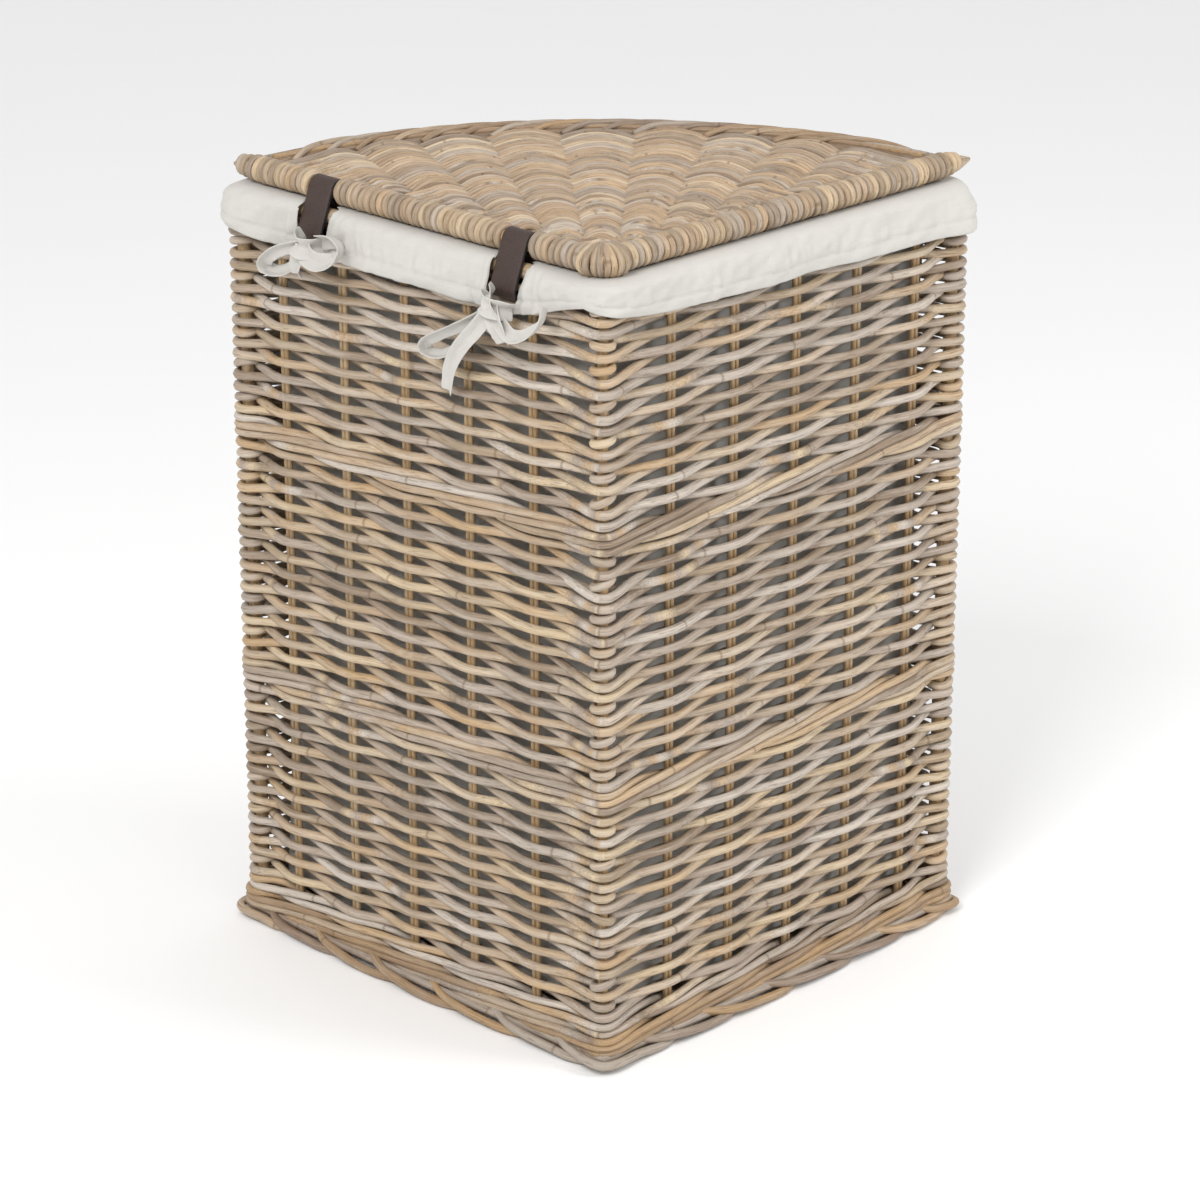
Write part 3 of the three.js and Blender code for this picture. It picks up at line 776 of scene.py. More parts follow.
@dataclass
class WovenBand:
    """A band of plain weave between two heights: rods that pass every second upright in front.

    Args:
        node: the CAD node that it stands for.
        plan: the basket's plan.
        pitch: height of two rods.
        lean: how far a rod stands above its course where it turns in.
        wrap_share: share of the rods behind a post for which a turn is wound round it.
    """

    node: str
    plan: Plan
    pitch: float = 0.0142
    lean: float = 0.0009
    wrap_share: float = 0.58

    def build(self, finish: bpy.types.Material) -> bpy.types.Object:
        """Weaves the band, with rods wound round the corner posts where they would leave gaps.

        Args:
            finish: the cane.

        Returns:
            The piece.
        """
        low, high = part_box(self.node)
        rows = round((high.z - low.z) / (self.pitch / 2))
        step = (high.z - low.z) / rows
        weaver = Weaver(self.plan)
        uprights = self.plan.uprights
        wraps = {}
        heights = np.zeros((rows, len(uprights)))
        for number, upright in enumerate(uprights):
            heights[:, number] = low.z + (np.arange(rows) + 0.5) * step
            if upright.post:
                self.crowd(heights, number, low.z, high.z, wraps)
        rods = []
        for row in range(rows):
            passes = [Pass.FRONT if (row + n) % 2 == 0 else Pass.BEHIND for n in range(len(uprights))]
            levels = [
                heights[row, n] + weaver.drift(n, heights[row, n]) + RNG.normal(0, 0.00035)
                for n in range(len(uprights))
            ]
            points = smooth_path(weaver.ring(passes, levels, lean=self.lean), 4, True)
            rods.append(long_rod(points, weaver.rod_radius, 4))
        for (number, row), level in wraps.items():
            rods.append(self.post_wrap(uprights[number], level, weaver.rod_radius))
        return ride(sweep(f"{self.node}_rods", rods, finish), "basket", "weave", self.node)

    def crowd(self, heights: np.ndarray, number: int, low: float, high: float, wraps: dict) -> None:
        """Spaces out the rods that show at a post, and those wound round it between them.

        Args:
            heights: every rod's height at every upright, changed at this post.
            number: the post.
            low: bottom of the band.
            high: top of the band.
            wraps: filled with the heights of the rods wound round the post.
        """
        rows = len(heights)
        shown = []
        balance = RNG.random()
        for row in range(rows):
            if (row + number) % 2 == 0:
                shown.append((row, False))
            else:
                balance += self.wrap_share
                if balance >= 1:
                    balance -= 1
                    shown.append((row, True))
        gap = (high - low) / len(shown)
        for place, (row, wound) in enumerate(shown):
            level = low + (place + 0.5) * gap
            if wound:
                wraps[(number, row)] = level
            else:
                heights[row, number] = level

    def post_wrap(self, post: Upright, level: float, radius: float) -> Rod:
        """One turn of cane round a corner post, both ends tucked in behind it."""
        inward = math.atan2(-post.normal[1], -post.normal[0])
        turns = np.linspace(0, 2 * math.pi, 22)
        slope = RNG.normal(0, 0.0012)
        reach = post.radius + radius * 0.75
        points = []
        for t in turns:
            x = post.centre[0] + reach * math.cos(inward + t)
            y = post.centre[1] + reach * math.sin(inward + t)
            points.append([x, y, level - 0.0006 + slope * math.sin(t) + 0.0016 * (t / math.pi - 1)])
        return Rod(np.array(points), radius * 0.95, RNG.random())


@dataclass
class Waling:
    """A dense band of rods that pass several uprights in front and one behind, and climb as they go.

    Args:
        node: the CAD node that it stands for.
        plan: the basket's plan.
        strands: rods in the band.
        reach: how much further out than the weave it lies.
        rod: radius of its rods.
    """

    node: str
    plan: Plan
    strands: int
    reach: float = 0.0012
    rod: float = 0.0030

    def paths(self, low: float, high: float, reach: float) -> list:
        """Paths of the rods between two heights."""
        weaver = Weaver(self.plan, self.rod, 0.0)
        count = len(self.plan.uprights)
        rods = []
        for strand in range(self.strands):
            stages = [(((n - count // 2) % count) - strand) % self.strands for n in range(count)]
            passes = [Pass.BEHIND if stage == 0 else Pass.FRONT for stage in stages]
            rise = (high - low) / (self.strands - 1)
            levels = []
            for n, stage in enumerate(stages):
                share = (self.strands - 1) / 2 if stage == 0 else stage - 0.5
                levels.append(low + share * rise + weaver.drift(n, low))
            points = smooth_path(weaver.ring(passes, levels, reach, lean=0.0032), 4, True)
            rods.append(long_rod(points, self.rod, 5))
        return rods

    def build(self, finish: bpy.types.Material) -> bpy.types.Object:
        """Weaves the band.

        Args:
            finish: the cane.

        Returns:
            The piece.
        """
        low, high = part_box(self.node)
        rods = self.paths(low.z, high.z, self.reach)
        return ride(sweep(f"{self.node}_rods", rods, finish), "basket", "wale", self.node)


@dataclass
class FootBorder:
    """The rolled foot: climbing rods above, and the stakes' ends laid down outside each other below.

    Args:
        plan: the basket's plan.
        flare: how far the laid-down ends stand out from the wall's rods.
        rod: radius of the laid-down ends.
    """

    plan: Plan
    flare: float = 0.0085
    rod: float = 0.0034

    def build(self, finish: bpy.types.Material) -> bpy.types.Object:
        """Builds the foot.

        Args:
            finish: the cane.

        Returns:
            The piece.
        """
        low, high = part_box("foot_border")
        upper = Waling("foot_border", self.plan, 4)
        rods = upper.paths(low.z + 0.0095, high.z + 0.001, 0.0042)
        uprights = self.plan.uprights
        count = len(uprights)
        for number in range(count):
            rods.append(self.laid_end(number, low.z, high.z))
        for number in range(count):
            rods.append(self.under(number, low.z))
        for out, level in ((0.0035, 0.0105), (0.0085, 0.0100), (0.0030, 0.0045)):
            places = [self.at(number / 4 + 0.001, out) for number in range(4 * count)]
            points = smooth_path(np.array([[*place, low.z + level] for place in places]), 2, True)
            rods.append(long_rod(points, 0.0032, 6))
        return ride(sweep("foot_border_rods", rods, finish), "basket", "border", "foot_border")

    def at(self, number: float, out: float) -> np.ndarray:
        """A place in plan at a share of the way between two uprights, moved out of the wall."""
        uprights = self.plan.uprights
        first = uprights[int(number) % len(uprights)]
        second = uprights[(int(number) + 1) % len(uprights)]
        share = number - int(number)
        normal = first.normal if share < 0.15 else first.after if share < 0.5 else second.before
        normal = second.normal if share > 0.85 else normal
        corner = 0.0
        for upright, near in ((first, 1 - share / 0.3), (second, 1 - (1 - share) / 0.3)):
            corner = max(corner, near) if upright.post else corner
        place = first.centre * (1 - share) + second.centre * share
        bulge = 0.006 * max(corner, self.bow(number)) * min(max(out, 0) / 0.01, 1)
        return place + normal * (out + bulge)

    def bow(self, number: float) -> float:
        """How far the foot bows out at a share of the way along a straight wall, from 0 to 0.8."""
        number %= len(self.plan.uprights)
        if number <= 6:
            return 0.8 * math.sin(math.pi * number / 6)
        return 0.8 * math.sin(math.pi * (number - 16) / 6) if number >= 16 else 0.2

    def laid_end(self, number: int, low: float, high: float) -> Rod:
        """One stake end: out from behind, down over the next upright and in under the one after it."""
        base = number + RNG.normal(0, 0.03)
        out = 0.0065 + self.flare
        stages = [
            (0.12, -0.002, high - 0.011),
            (0.38, 0.0058, high - 0.0115),
            (0.7, out * 0.85, low + 0.0098),
            (1.0, out, low + 0.0075),
            (1.35, out, low + 0.0055),
            (1.7, out * 0.9, low + 0.0040),
            (2.02, out * 0.5, low + 0.0036),
        ]
        points = []
        for share, reach, level in stages:
            place = self.at(base + share, reach)
            points.append([*place, level + RNG.normal(0, 0.0003)])
        path = smooth_path(np.array(points), 7, False)
        return short_rod(path, self.rod)

    def under(self, number: int, low: float) -> Rod:
        """A short cut end under the foot beside each upright."""
        first, second = self.at(number + 0.62, -0.004), self.at(number + 0.78, 0.007)
        level = low + 0.0030
        path = np.array([[*first, level + 0.003], [*second, level]])
        return Rod(path, 0.0027, RNG.random())


@dataclass
class Uprights:
    """Stakes, each two rods side by side, and the three corner posts.

    Args:
        plan: the basket's plan.
    """

    plan: Plan

    def build(self, finish: bpy.types.Material) -> None:
        """Builds each upright as its own piece.

        Args:
            finish: the cane.
        """
        for upright in self.plan.uprights:
            low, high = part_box(upright.name)
            steps = max(int((high.z - low.z) / 0.02), 4)
            levels = np.linspace(low.z, high.z, steps)
            across = np.array([-upright.normal[1], upright.normal[0]])
            offsets = [0.0] if upright.post else [-upright.radius, upright.radius]
            rods = []
            for offset in offsets:
                seed = RNG.random() * 40
                wander = [0.0004 * noise.noise(Vector((seed, z * 14, 0))) for z in levels]
                places = [[*(upright.centre + across * (offset + w)), z] for w, z in zip(wander, levels)]
                rods.append(short_rod(np.array(places), upright.radius, 0.05))
            piece = sweep(f"{upright.name}_rods", rods, finish, 10 if upright.post else 8)
            ride(piece, "basket", "pole", upright.name)


@dataclass
class Frames:
    """The bent hoops at the rim and the floor, and the floor's bars and weave.

    Args:
        plan: the basket's plan.
        hoop: radius of the hoops.
    """

    plan: Plan
    hoop: float = 0.006

    def build(self, pole: bpy.types.Material, cane: bpy.types.Material) -> None:
        """Builds the hoops, the bars and the floor.

        Args:
            pole: finish of the bars.
            cane: finish of the hoops and the woven floor.
        """
        for node in ("top_frame", "base_frame"):
            low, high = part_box(node)
            inset = (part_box("weave_middle")[1].y - high.y) + self.hoop
            outline = self.plan.outline(inset, 0.014, 0.012)
            level = (low.z + high.z) / 2
            points = np.hstack([outline, np.full((len(outline), 1), level)])
            rods = [Rod(points, self.hoop, tones_along(len(points), 2), True)]
            # The hoops take the weave's greyer cane, not the stakes' golden cane: partly the cane's own
            # colour, partly painted shade where the top hoop shows through the strap slits.
            ride(sweep(f"{node}_hoop", rods, cane, 12), "basket", "pole", node)
        for number in (1, 2, 3):
            node = f"base_bar_{number}"
            low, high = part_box(node)
            middle = (low + high) / 2
            levels = np.linspace(low.y, high.y, 12)
            points = np.array([[middle.x, y, middle.z] for y in levels])
            rods = [short_rod(points, 0.005, 0.03)]
            ride(sweep(f"{node}_rod", rods, pole, 12), "basket", "pole", node)
        self.floor(cane)

    def floor(self, cane: bpy.types.Material) -> None:
        """The woven floor: rods from wall to wall, over and under thin ribs between the bars."""
        low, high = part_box("base_weave")
        level, rods = (low.z + high.z) / 2, []
        ribs = np.linspace(low.x + 0.03, high.x - 0.03, 11)
        inset = low.y - self.plan.corner_y
        reach = self.plan.leg - 0.032
        pitch = 0.0058
        rows = int((high.y - low.y) / pitch)
        for row in range(rows):
            y = low.y + (row + 0.5) * pitch + 0.004
            half = min(y - self.plan.corner_y - inset + 0.012, 0.99 * high.x)
            far = math.sqrt(max(reach**2 - (y - self.plan.corner_y) ** 2, 0.0))
            half = min(half, far)
            if half < 0.02:
                continue
            points = [[-half, y, level]]
            for number, x in enumerate(ribs):
                if abs(x) < half - 0.004:
                    side = 1 if (number + row) % 2 else -1
                    points.append([x, y, level + side * 0.0014])
            points.append([half, y, level])
            path = smooth_path(np.array(points), 4, False)
            rods.append(short_rod(path, 0.0025))
        for x in ribs:
            start = self.plan.corner_y + inset + abs(x) - 0.006
            end = self.plan.corner_y + math.sqrt(reach**2 - x**2)
            points = np.array([[x, y, level] for y in np.linspace(start, end, 6)])
            rods.append(Rod(points, 0.0018, RNG.random()))
        ride(sweep("base_weave_rods", rods, cane, 6), "basket", "weave", "base_weave")


# ---- Liner --------------------------------------------------------------------------------------


@dataclass
class Liner:
    """The cotton bag, turned over the rim as a cuff with a hem, and slit where the straps pass.

    Args:
        plan: the basket's plan.
        step: size of the cloth's mesh.
        bag: how far the bag hangs inside the wall's outer face.
        cuff: how far the cuff stands outside it.
        drop: height of the cuff.
        hem: height of the hem at the cuff's lower edge.
        reach: how far from a strap the cloth is drawn together.
        thickness: thickness of the cloth.
        straps: where the straps' middles lie along the left wall.
    """

    plan: Plan
    step: float = 0.0023
    bag: float = 0.0175
    cuff: float = 0.0034
    drop: float = 0.0372
    hem: float = 0.0115
    reach: float = 0.055
    thickness: float = 0.0009
    straps: tuple = STRAPS

    def profile(self, low: float, high: float) -> list:
        """The cloth's section, from the floor's edge over the rim to the hem.

        Args:
            low: the bag's floor.
            high: top of the cuff.

        Returns:
            Rows of (share of the way from the bag's outline to the cuff's, height).
        """
        rows = [(0.0, low + 0.004), (0.0, low + 0.015)]
        wall = high - 0.036 - low - 0.015
        rows += [(0.0, low + 0.015 + t * wall) for t in np.linspace(0, 1, 15)[1:]]
        rows += [(0.0, high - 0.030), (0.0, high - 0.020), (0.02, high - 0.010)]
        rows += [(0.05, high - 0.004), (0.12, high - 0.001), (0.25, high), (0.42, high), (0.58, high)]
        for turn in np.linspace(0, math.pi / 2, 7)[1:]:
            rows.append((0.60 + 0.40 * math.sin(turn), high - 0.0075 * (1 - math.cos(turn))))
        rows += [(1.0, high - 0.0075 - t * (self.drop - 0.0075)) for t in np.linspace(0, 1, 20)[1:]]
        return rows

    def rise(self, turn: float, length: float) -> float:
        """How much higher than usual the cuff's lower edge is at a distance round the basket."""
        leg = self.plan.leg
        from_front = min(turn, length - turn)
        rise = 0.013 * max(0.0, 1 - from_front / 0.10) ** 1.5
        rise += 0.010 * max(0.0, 1 - abs(length - turn - leg) / 0.06)
        rise += 0.006 * max(0.0, 1 - (turn / leg if turn < length / 2 else from_front / 0.06))
        return rise + 0.0016 * noise.noise(Vector((turn * 14, 0.5, 9.1))) * min(1.0, from_front / 0.012)

    def folds(self, turn: float, depth: float, level: float, hem_line: float, drawn: float) -> float:
        """How far the cuff stands out at a place.

        Args:
            turn: distance round the basket.
            depth: share of the way down the cuff.
            level: height.
            hem_line: height of the hem's stitching.
            drawn: how closely the cloth is drawn together there, from 0 to 1.

        Returns:
            The displacement.
        """
        wide = noise.noise(Vector((turn * 24, depth * 1.6, 1.7)))
        fine = noise.noise(Vector((turn * 75 + depth * 3, depth * 2.2, 8.3)))
        pleats = noise.noise(Vector((turn * 190, depth * 1.1, 5.5)))
        above = math.exp(-(((level - hem_line - 0.005) / 0.0055) ** 2))
        push = 0.0006 + 0.0030 * wide + 0.0017 * fine + (0.0006 + 0.0020 * above) * pleats
        push += drawn * 0.0042 * noise.noise(Vector((turn * 120, depth * 1.3, 2.9))) * (0.4 + depth)
        swell = 0.0010 * math.exp(-(((level - hem_line + 0.006) / 0.005) ** 2))
        groove = 0.0013 * math.exp(-(((level - hem_line) / 0.0010) ** 2))
        return push + swell - groove

    def shift(self, along: float, depth: float, outside: bool) -> float:
        """How far the cloth moves along the left wall to make way for a strap."""
        for strap in self.straps:
            away = along - strap
            if abs(away) >= self.reach:
                continue
            if not outside:
                gap = 0.0148
            elif away > 0:
                gap = 0.0142 - 0.0060 * max(depth - 0.7, 0) / 0.3
            else:
                gap = 0.0205 - 0.0110 * depth**1.2
            return math.copysign(gap * (1 - abs(away) / self.reach), away)
        return 0.0

    def build(self, finish: bpy.types.Material) -> bpy.types.Object:
        """Builds the liner as one sheet.

        Args:
            finish: the cotton.

        Returns:
            The piece.
        """
        inner = self.plan.outline(self.bag, 0.012, self.step)
        outer = self.plan.outline(-self.cuff, 0.0185, self.step)
        inner, outer = np.vstack([inner, inner[:1]]), np.vstack([outer, outer[:1]])
        around = np.concatenate([[0], np.cumsum(np.linalg.norm(np.diff(outer, axis=0), axis=1))])
        length = around[-1]
        out = np.roll(outer[:-1], -1, axis=0) - np.roll(outer[:-1], 1, axis=0)
        out = np.stack([out[:, 1], -out[:, 0]], axis=1)
        out /= np.linalg.norm(out, axis=1)[:, None]
        out = np.vstack([out, out[:1]])
        low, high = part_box("liner")
        floor, top = low.z + 0.0012, high.z - 0.0006
        centre = inner[:-1].mean(axis=0)
        places = []
        for share in (0.0001, 0.2, 0.4, 0.6, 0.78, 0.9, 0.97):
            ring = centre + (inner - centre) * share
            sag = [0.0012 * (1 + noise.noise(Vector((x * 16, y * 16, 2)))) for x, y in ring]
            level = floor + np.array(sag) * min(1.0, 6 * (1 - share))
            places.append(np.hstack([ring, level[:, None]]))
        far = [self.plan.beside(side, self.plan.leg - 0.012, 0.0) for side in Side]
        for share, level in self.profile(floor, top):
            ring = inner * (1 - share) + outer * share
            levels = np.full(len(ring), level)
            hang = min(1.0, (top - level) / 0.12) * min(1.0, (level - floor) / 0.10)
            for k, turn in enumerate(around):
                turn = turn % length
                angle = 2 * math.pi * turn / length
                depth = (top - level) / self.drop
                left = 9.0
                if turn > 0.62 * length:
                    left = (ring[k][1] - self.plan.corner_y - ring[k][0]) * HALF
                if share < 0.5:
                    soft = noise.noise(Vector((math.cos(angle) * 7, math.sin(angle) * 7, level * 4)))
                    ring[k] -= out[k] * (0.0005 + hang * 0.0075 * (1 + soft))
                else:
                    hem_line = top - self.drop + self.hem
                    near = min(abs(left - strap) for strap in self.straps)
                    drawn = max(0.0, 1 - near / 0.05)
                    blend = min(1.0, (share - 0.5) * 2)
                    push = self.folds(turn, depth, level, hem_line, drawn) * blend
                    push *= min(1.0, 0.15 + min(turn, length - turn) / 0.012)
                    bulge = min(np.linalg.norm(ring[k] - place) for place in far)
                    push += 0.0085 * math.exp(-((bulge / 0.026) ** 2)) * math.sin(min(depth * 2.1, 2.0))
                    push += 0.0016 * math.sin(min(depth, 1) * math.pi) * blend
                    ring[k] += out[k] * push
                    levels[k] = top - (top - level) * (1 - self.rise(turn, length) * blend / self.drop)
                if level > top - self.drop + 0.0005 - (share > 0.5) and left < self.plan.leg:
                    ring[k] += np.array([-HALF, HALF]) * self.shift(left, depth, share > 0.5)
            places.append(np.hstack([ring, levels[:, None]]))
        net = np.array(places)
        net[:, -1] = net[:, 0]
        piece = placed_grid("liner_cloth", net, finish, True)
        self.finish_cloth(piece, top - self.drop)
        return ride(piece, "basket", "cotton", "liner")

    def finish_cloth(self, piece: bpy.types.Object, bottom: float) -> None:
        """Opens the slits, mends sliver faces and gives the cloth its thickness.

        Args:
            piece: the cloth.
            bottom: the lowest level of a slit.
        """
        with editing(piece.data) as body:
            gone = []
            for face in body.faces:
                middle = face.calc_center_median()
                longest = max(edge.calc_length() for edge in face.edges)
                drop = max(abs((e.verts[0].co - e.verts[1].co).z) for e in face.edges)
                stretched = longest > 0.012 and drop < 0.009
                if middle.z > bottom - 0.004 and middle.x < 0 and stretched:
                    gone.append(face)
            bmesh.ops.delete(body, geom=gone, context="FACES")
            bmesh.ops.dissolve_degenerate(body, dist=1e-4, edges=body.edges[:])
            bmesh.ops.recalc_face_normals(body, faces=body.faces)
        thicken(piece, self.thickness)


# ---- Straps and bows ----------------------------------------------------------------------------


@dataclass
class Strap:
    """A leather loop: round the lid's pole, down the front of the cuff, and back through the wall.

    Args:
        node: the CAD node that it stands for.
        plan: the basket's plan.
        along: distance from the sharp corner to its middle.
        width: its width.
        leather: its thickness.
        standoff: how far its outer leg stands outside the wall.
        inner: how far its inner leg lies inside the wall's outer face.
        bend: radius of its lower bends.
        axis_inset: how far the lid's pole lies inside the wall's outer face.
        pole: radius of the leather's middle line round the pole.
    """

    node: str
    plan: Plan
    along: float
    width: float = 0.025
    leather: float = 0.003
    standoff: float = 0.0065
    inner: float = 0.020
    bend: float = 0.008
    axis_inset: float = 0.0145
    pole: float = 0.0086

    def section(self) -> np.ndarray:
        """The middle line of the leather, as rows of (inset, height)."""
        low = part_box(self.node)[0].z + self.leather / 2
        axis_z = frame["joints"][0]["pos_m"][2]
        circles = [
            (np.array([self.bend - self.standoff, low + self.bend]), self.bend),
            (np.array([self.inner - self.bend, low + self.bend]), self.bend),
            (np.array([self.axis_inset, axis_z]), self.pole),
        ]
        facing = []
        for number, (centre, radius) in enumerate(circles):
            following, next_radius = circles[(number + 1) % 3]
            step = following - centre
            spread = math.acos((radius - next_radius) / np.linalg.norm(step))
            facing.append(math.atan2(step[1], step[0]) - spread)
        points = []
        for number, (centre, radius) in enumerate(circles):
            start = facing[number - 1]
            swing = (facing[number] - start) % (2 * math.pi)
            steps = 18 if number == 2 else 8
            for turn in np.linspace(start, start + swing, steps):
                points.append(centre + radius * np.array([math.cos(turn), math.sin(turn)]))
        return np.array(points)

    def build(self, finish: bpy.types.Material, edge: bpy.types.Material) -> bpy.types.Object:
        """Builds the strap.

        Args:
            finish: the leather's face.
            edge: its cut edge.

        Returns:
            The piece.
        """
        line = self.section()
        line = np.vstack([line, line[:1]])
        columns = np.linspace(-self.width / 2, self.width / 2, 9)
        net = np.zeros((len(columns), len(line), 3))
        for row, offset in enumerate(columns):
            cup = 0.0005 * (1 - (2 * offset / self.width) ** 2)
            for column, (inset, level) in enumerate(line):
                lean = 0.0009 * noise.noise(Vector((level * 40, self.along * 9, 0.3)))
                place = self.plan.beside(Side.LEFT, self.along + offset + lean, inset - cup)
                net[row, column] = [*place, level]
        piece = placed_grid(f"{self.node}_leather", net, finish, True)
        piece.data.materials.append(edge)
        side = Vector((-HALF, HALF, 0))
        with editing(piece.data) as body:
            bmesh.ops.recalc_face_normals(body, faces=body.faces)
            before = set(body.faces)
            bmesh.ops.solidify(body, geom=body.faces[:], thickness=self.leather)
            for face in body.faces:
                if face not in before and abs(face.normal.dot(side)) > 0.7:
                    face.material_index = 1
            bmesh.ops.recalc_face_normals(body, faces=body.faces)
        piece.data.uv_layers.remove(piece.data.uv_layers[0])
        soft = piece.modifiers.new("edges", "BEVEL")
        soft.width = 0.0005
        soft.segments = 2
        soft.limit_method = "ANGLE"
        soft.angle_limit = math.radians(50)
        return ride(piece, "basket", "leather", self.node)


@dataclass
class Tape:
    """A length of folded cotton tape.

    Args:
        route: its middle line, as (along the wall, height, out from the wall, turn in degrees).
        width: its width.
        fold: how deep its fold is, as a share of the width.
    """

    route: tuple
    width: float = 0.0105
    fold: float = 0.3


@dataclass
class Bow:
    """A tied bow of cotton tape at the cuff's lower edge.

    Args:
        node: the CAD node that it stands for.
        plan: the basket's plan.
        tapes: its loops, tails and knot.
        thickness: thickness of the tape.
    """

    node: str
    plan: Plan
    tapes: tuple
    thickness: float = 0.0011

    def strip(self, tape: Tape, name: str, finish: bpy.types.Material) -> bpy.types.Object:
        """One tape as a folded strip with thickness.

        Args:
            tape: the tape.
            name: the piece's name.
            finish: the cotton.

        Returns:
            The strip.
        """
        route = np.array(tape.route, float)
        line = smooth_path(route[:, :3], 8, False)
        turns = np.interp(np.linspace(0, len(route) - 1, len(line)), np.arange(len(route)), route[:, 3])
        ahead = np.gradient(line, axis=0)
        ahead /= np.linalg.norm(ahead, axis=1)[:, None]
        net = np.zeros((7, len(line), 3))
        for column, (place, turn) in enumerate(zip(line, turns)):
            across = np.cross((0.0, 0.0, 1.0), ahead[column])
            across /= max(np.linalg.norm(across), 1e-6)
            flat = np.cross(ahead[column], across)
            angle = math.radians(turn)
            wide = across * math.cos(angle) + flat * math.sin(angle)
            thick = flat * math.cos(angle) - across * math.sin(angle)
            for row, share in enumerate(np.linspace(-1, 1, 7)):
                crumple = 0.0007 * noise.noise(Vector((column * 0.35, share * 2, route[0, 1] * 90)))
                depth = tape.fold * tape.width * (abs(share) - 0.5) + crumple
                s, z, o = place + wide * share * tape.width / 2 + thick * depth
                plan = self.plan.beside(Side.LEFT, s, -o)
                net[row, column] = [*plan, z]
        return placed_grid(name, net, finish, False)

    def build(self, finish: bpy.types.Material) -> bpy.types.Object:
        """Builds the bow.

        Args:
            finish: the cotton.

        Returns:
            The piece.
        """
        whole = bmesh.new()
        for number, tape in enumerate(self.tapes):
            strip = self.strip(tape, f"{self.node}_strip_{number}", finish)
            whole.from_mesh(strip.data)
            bpy.data.objects.remove(strip)
        bmesh.ops.recalc_face_normals(whole, faces=whole.faces)
        piece = add_mesh(f"{self.node}_tape", whole, finish)
        thicken(piece, self.thickness)
        smooth = piece.modifiers.new("soft", "SUBSURF")
        smooth.levels = smooth.render_levels = 1
        return ride(piece, "basket", "cotton", self.node)


FRONT_TAPES = (
    Tape(
        (
            (0.093, 0.582, 0.015, 20), (0.106, 0.573, 0.017, 35), (0.128, 0.561, 0.019, 45),
            (0.152, 0.549, 0.018, 50), (0.166, 0.540, 0.016, 60), (0.168, 0.533, 0.013, 70),
            (0.158, 0.531, 0.011, 60), (0.136, 0.541, 0.011, 45), (0.112, 0.560, 0.012, 40),
            (0.095, 0.578, 0.014, 30),
        ),
        0.0110,
    ),
    Tape(
        (
            (0.094, 0.581, 0.018, 20), (0.104, 0.567, 0.021, 20), (0.118, 0.552, 0.022, 15),
            (0.130, 0.538, 0.020, 10), (0.139, 0.523, 0.017, 0), (0.144, 0.507, 0.014, -10),
        ),
        0.0125,
    ),
    Tape(
        (
            (0.093, 0.581, 0.016, 10), (0.083, 0.572, 0.019, 30), (0.070, 0.566, 0.021, 35),
            (0.056, 0.570, 0.021, 45), (0.045, 0.581, 0.017, 60), (0.046, 0.590, 0.011, 60),
        ),
        0.0115,
    ),
    Tape(
        (
            (0.092, 0.584, 0.018, 0), (0.087, 0.575, 0.022, 10), (0.083, 0.566, 0.020, 0),
            (0.081, 0.558, 0.017, -10),
        ),
        0.0150, 0.35,
    ),
    Tape(
        (
            (0.105, 0.585, 0.009, 10), (0.101, 0.586, 0.019, 10), (0.092, 0.585, 0.024, 5),
            (0.084, 0.583, 0.019, 10), (0.080, 0.581, 0.009, 10),
        ),
        0.0150, 0.45,
    ),
    Tape(
        (
            (0.101, 0.593, 0.009, 0), (0.096, 0.592, 0.018, 5), (0.091, 0.585, 0.024, 0),
            (0.088, 0.577, 0.020, 0),
        ),
        0.0105, 0.4,
    ),
)

REAR_TAPES = (
    Tape(
        (
            (0.294, 0.587, 0.015, 20), (0.309, 0.584, 0.018, 35), (0.326, 0.577, 0.019, 45),
            (0.339, 0.567, 0.018, 55), (0.342, 0.560, 0.014, 65), (0.333, 0.558, 0.012, 55),
            (0.314, 0.566, 0.012, 40), (0.297, 0.583, 0.014, 30),
        ),
        0.0120,
    ),
    Tape(
        (
            (0.294, 0.587, 0.018, 10), (0.297, 0.577, 0.022, 0), (0.300, 0.570, 0.021, -10),
            (0.302, 0.563, 0.017, 0),
        ),
        0.0130,
    ),
    Tape(
        (
            (0.293, 0.587, 0.018, 15), (0.284, 0.582, 0.023, 25), (0.270, 0.580, 0.024, 30),
            (0.258, 0.584, 0.021, 45), (0.255, 0.592, 0.016, 50), (0.265, 0.596, 0.013, 40),
            (0.282, 0.593, 0.013, 30),
        ),
        0.0150, 0.35,
    ),
    Tape(
        (
            (0.305, 0.590, 0.009, 10), (0.301, 0.590, 0.019, 10), (0.293, 0.588, 0.024, 5),
            (0.285, 0.587, 0.019, 10), (0.281, 0.587, 0.009, 10),
        ),
        0.0165, 0.45,
    ),
)


# ---- Lid ----------------------------------------------------------------------------------------


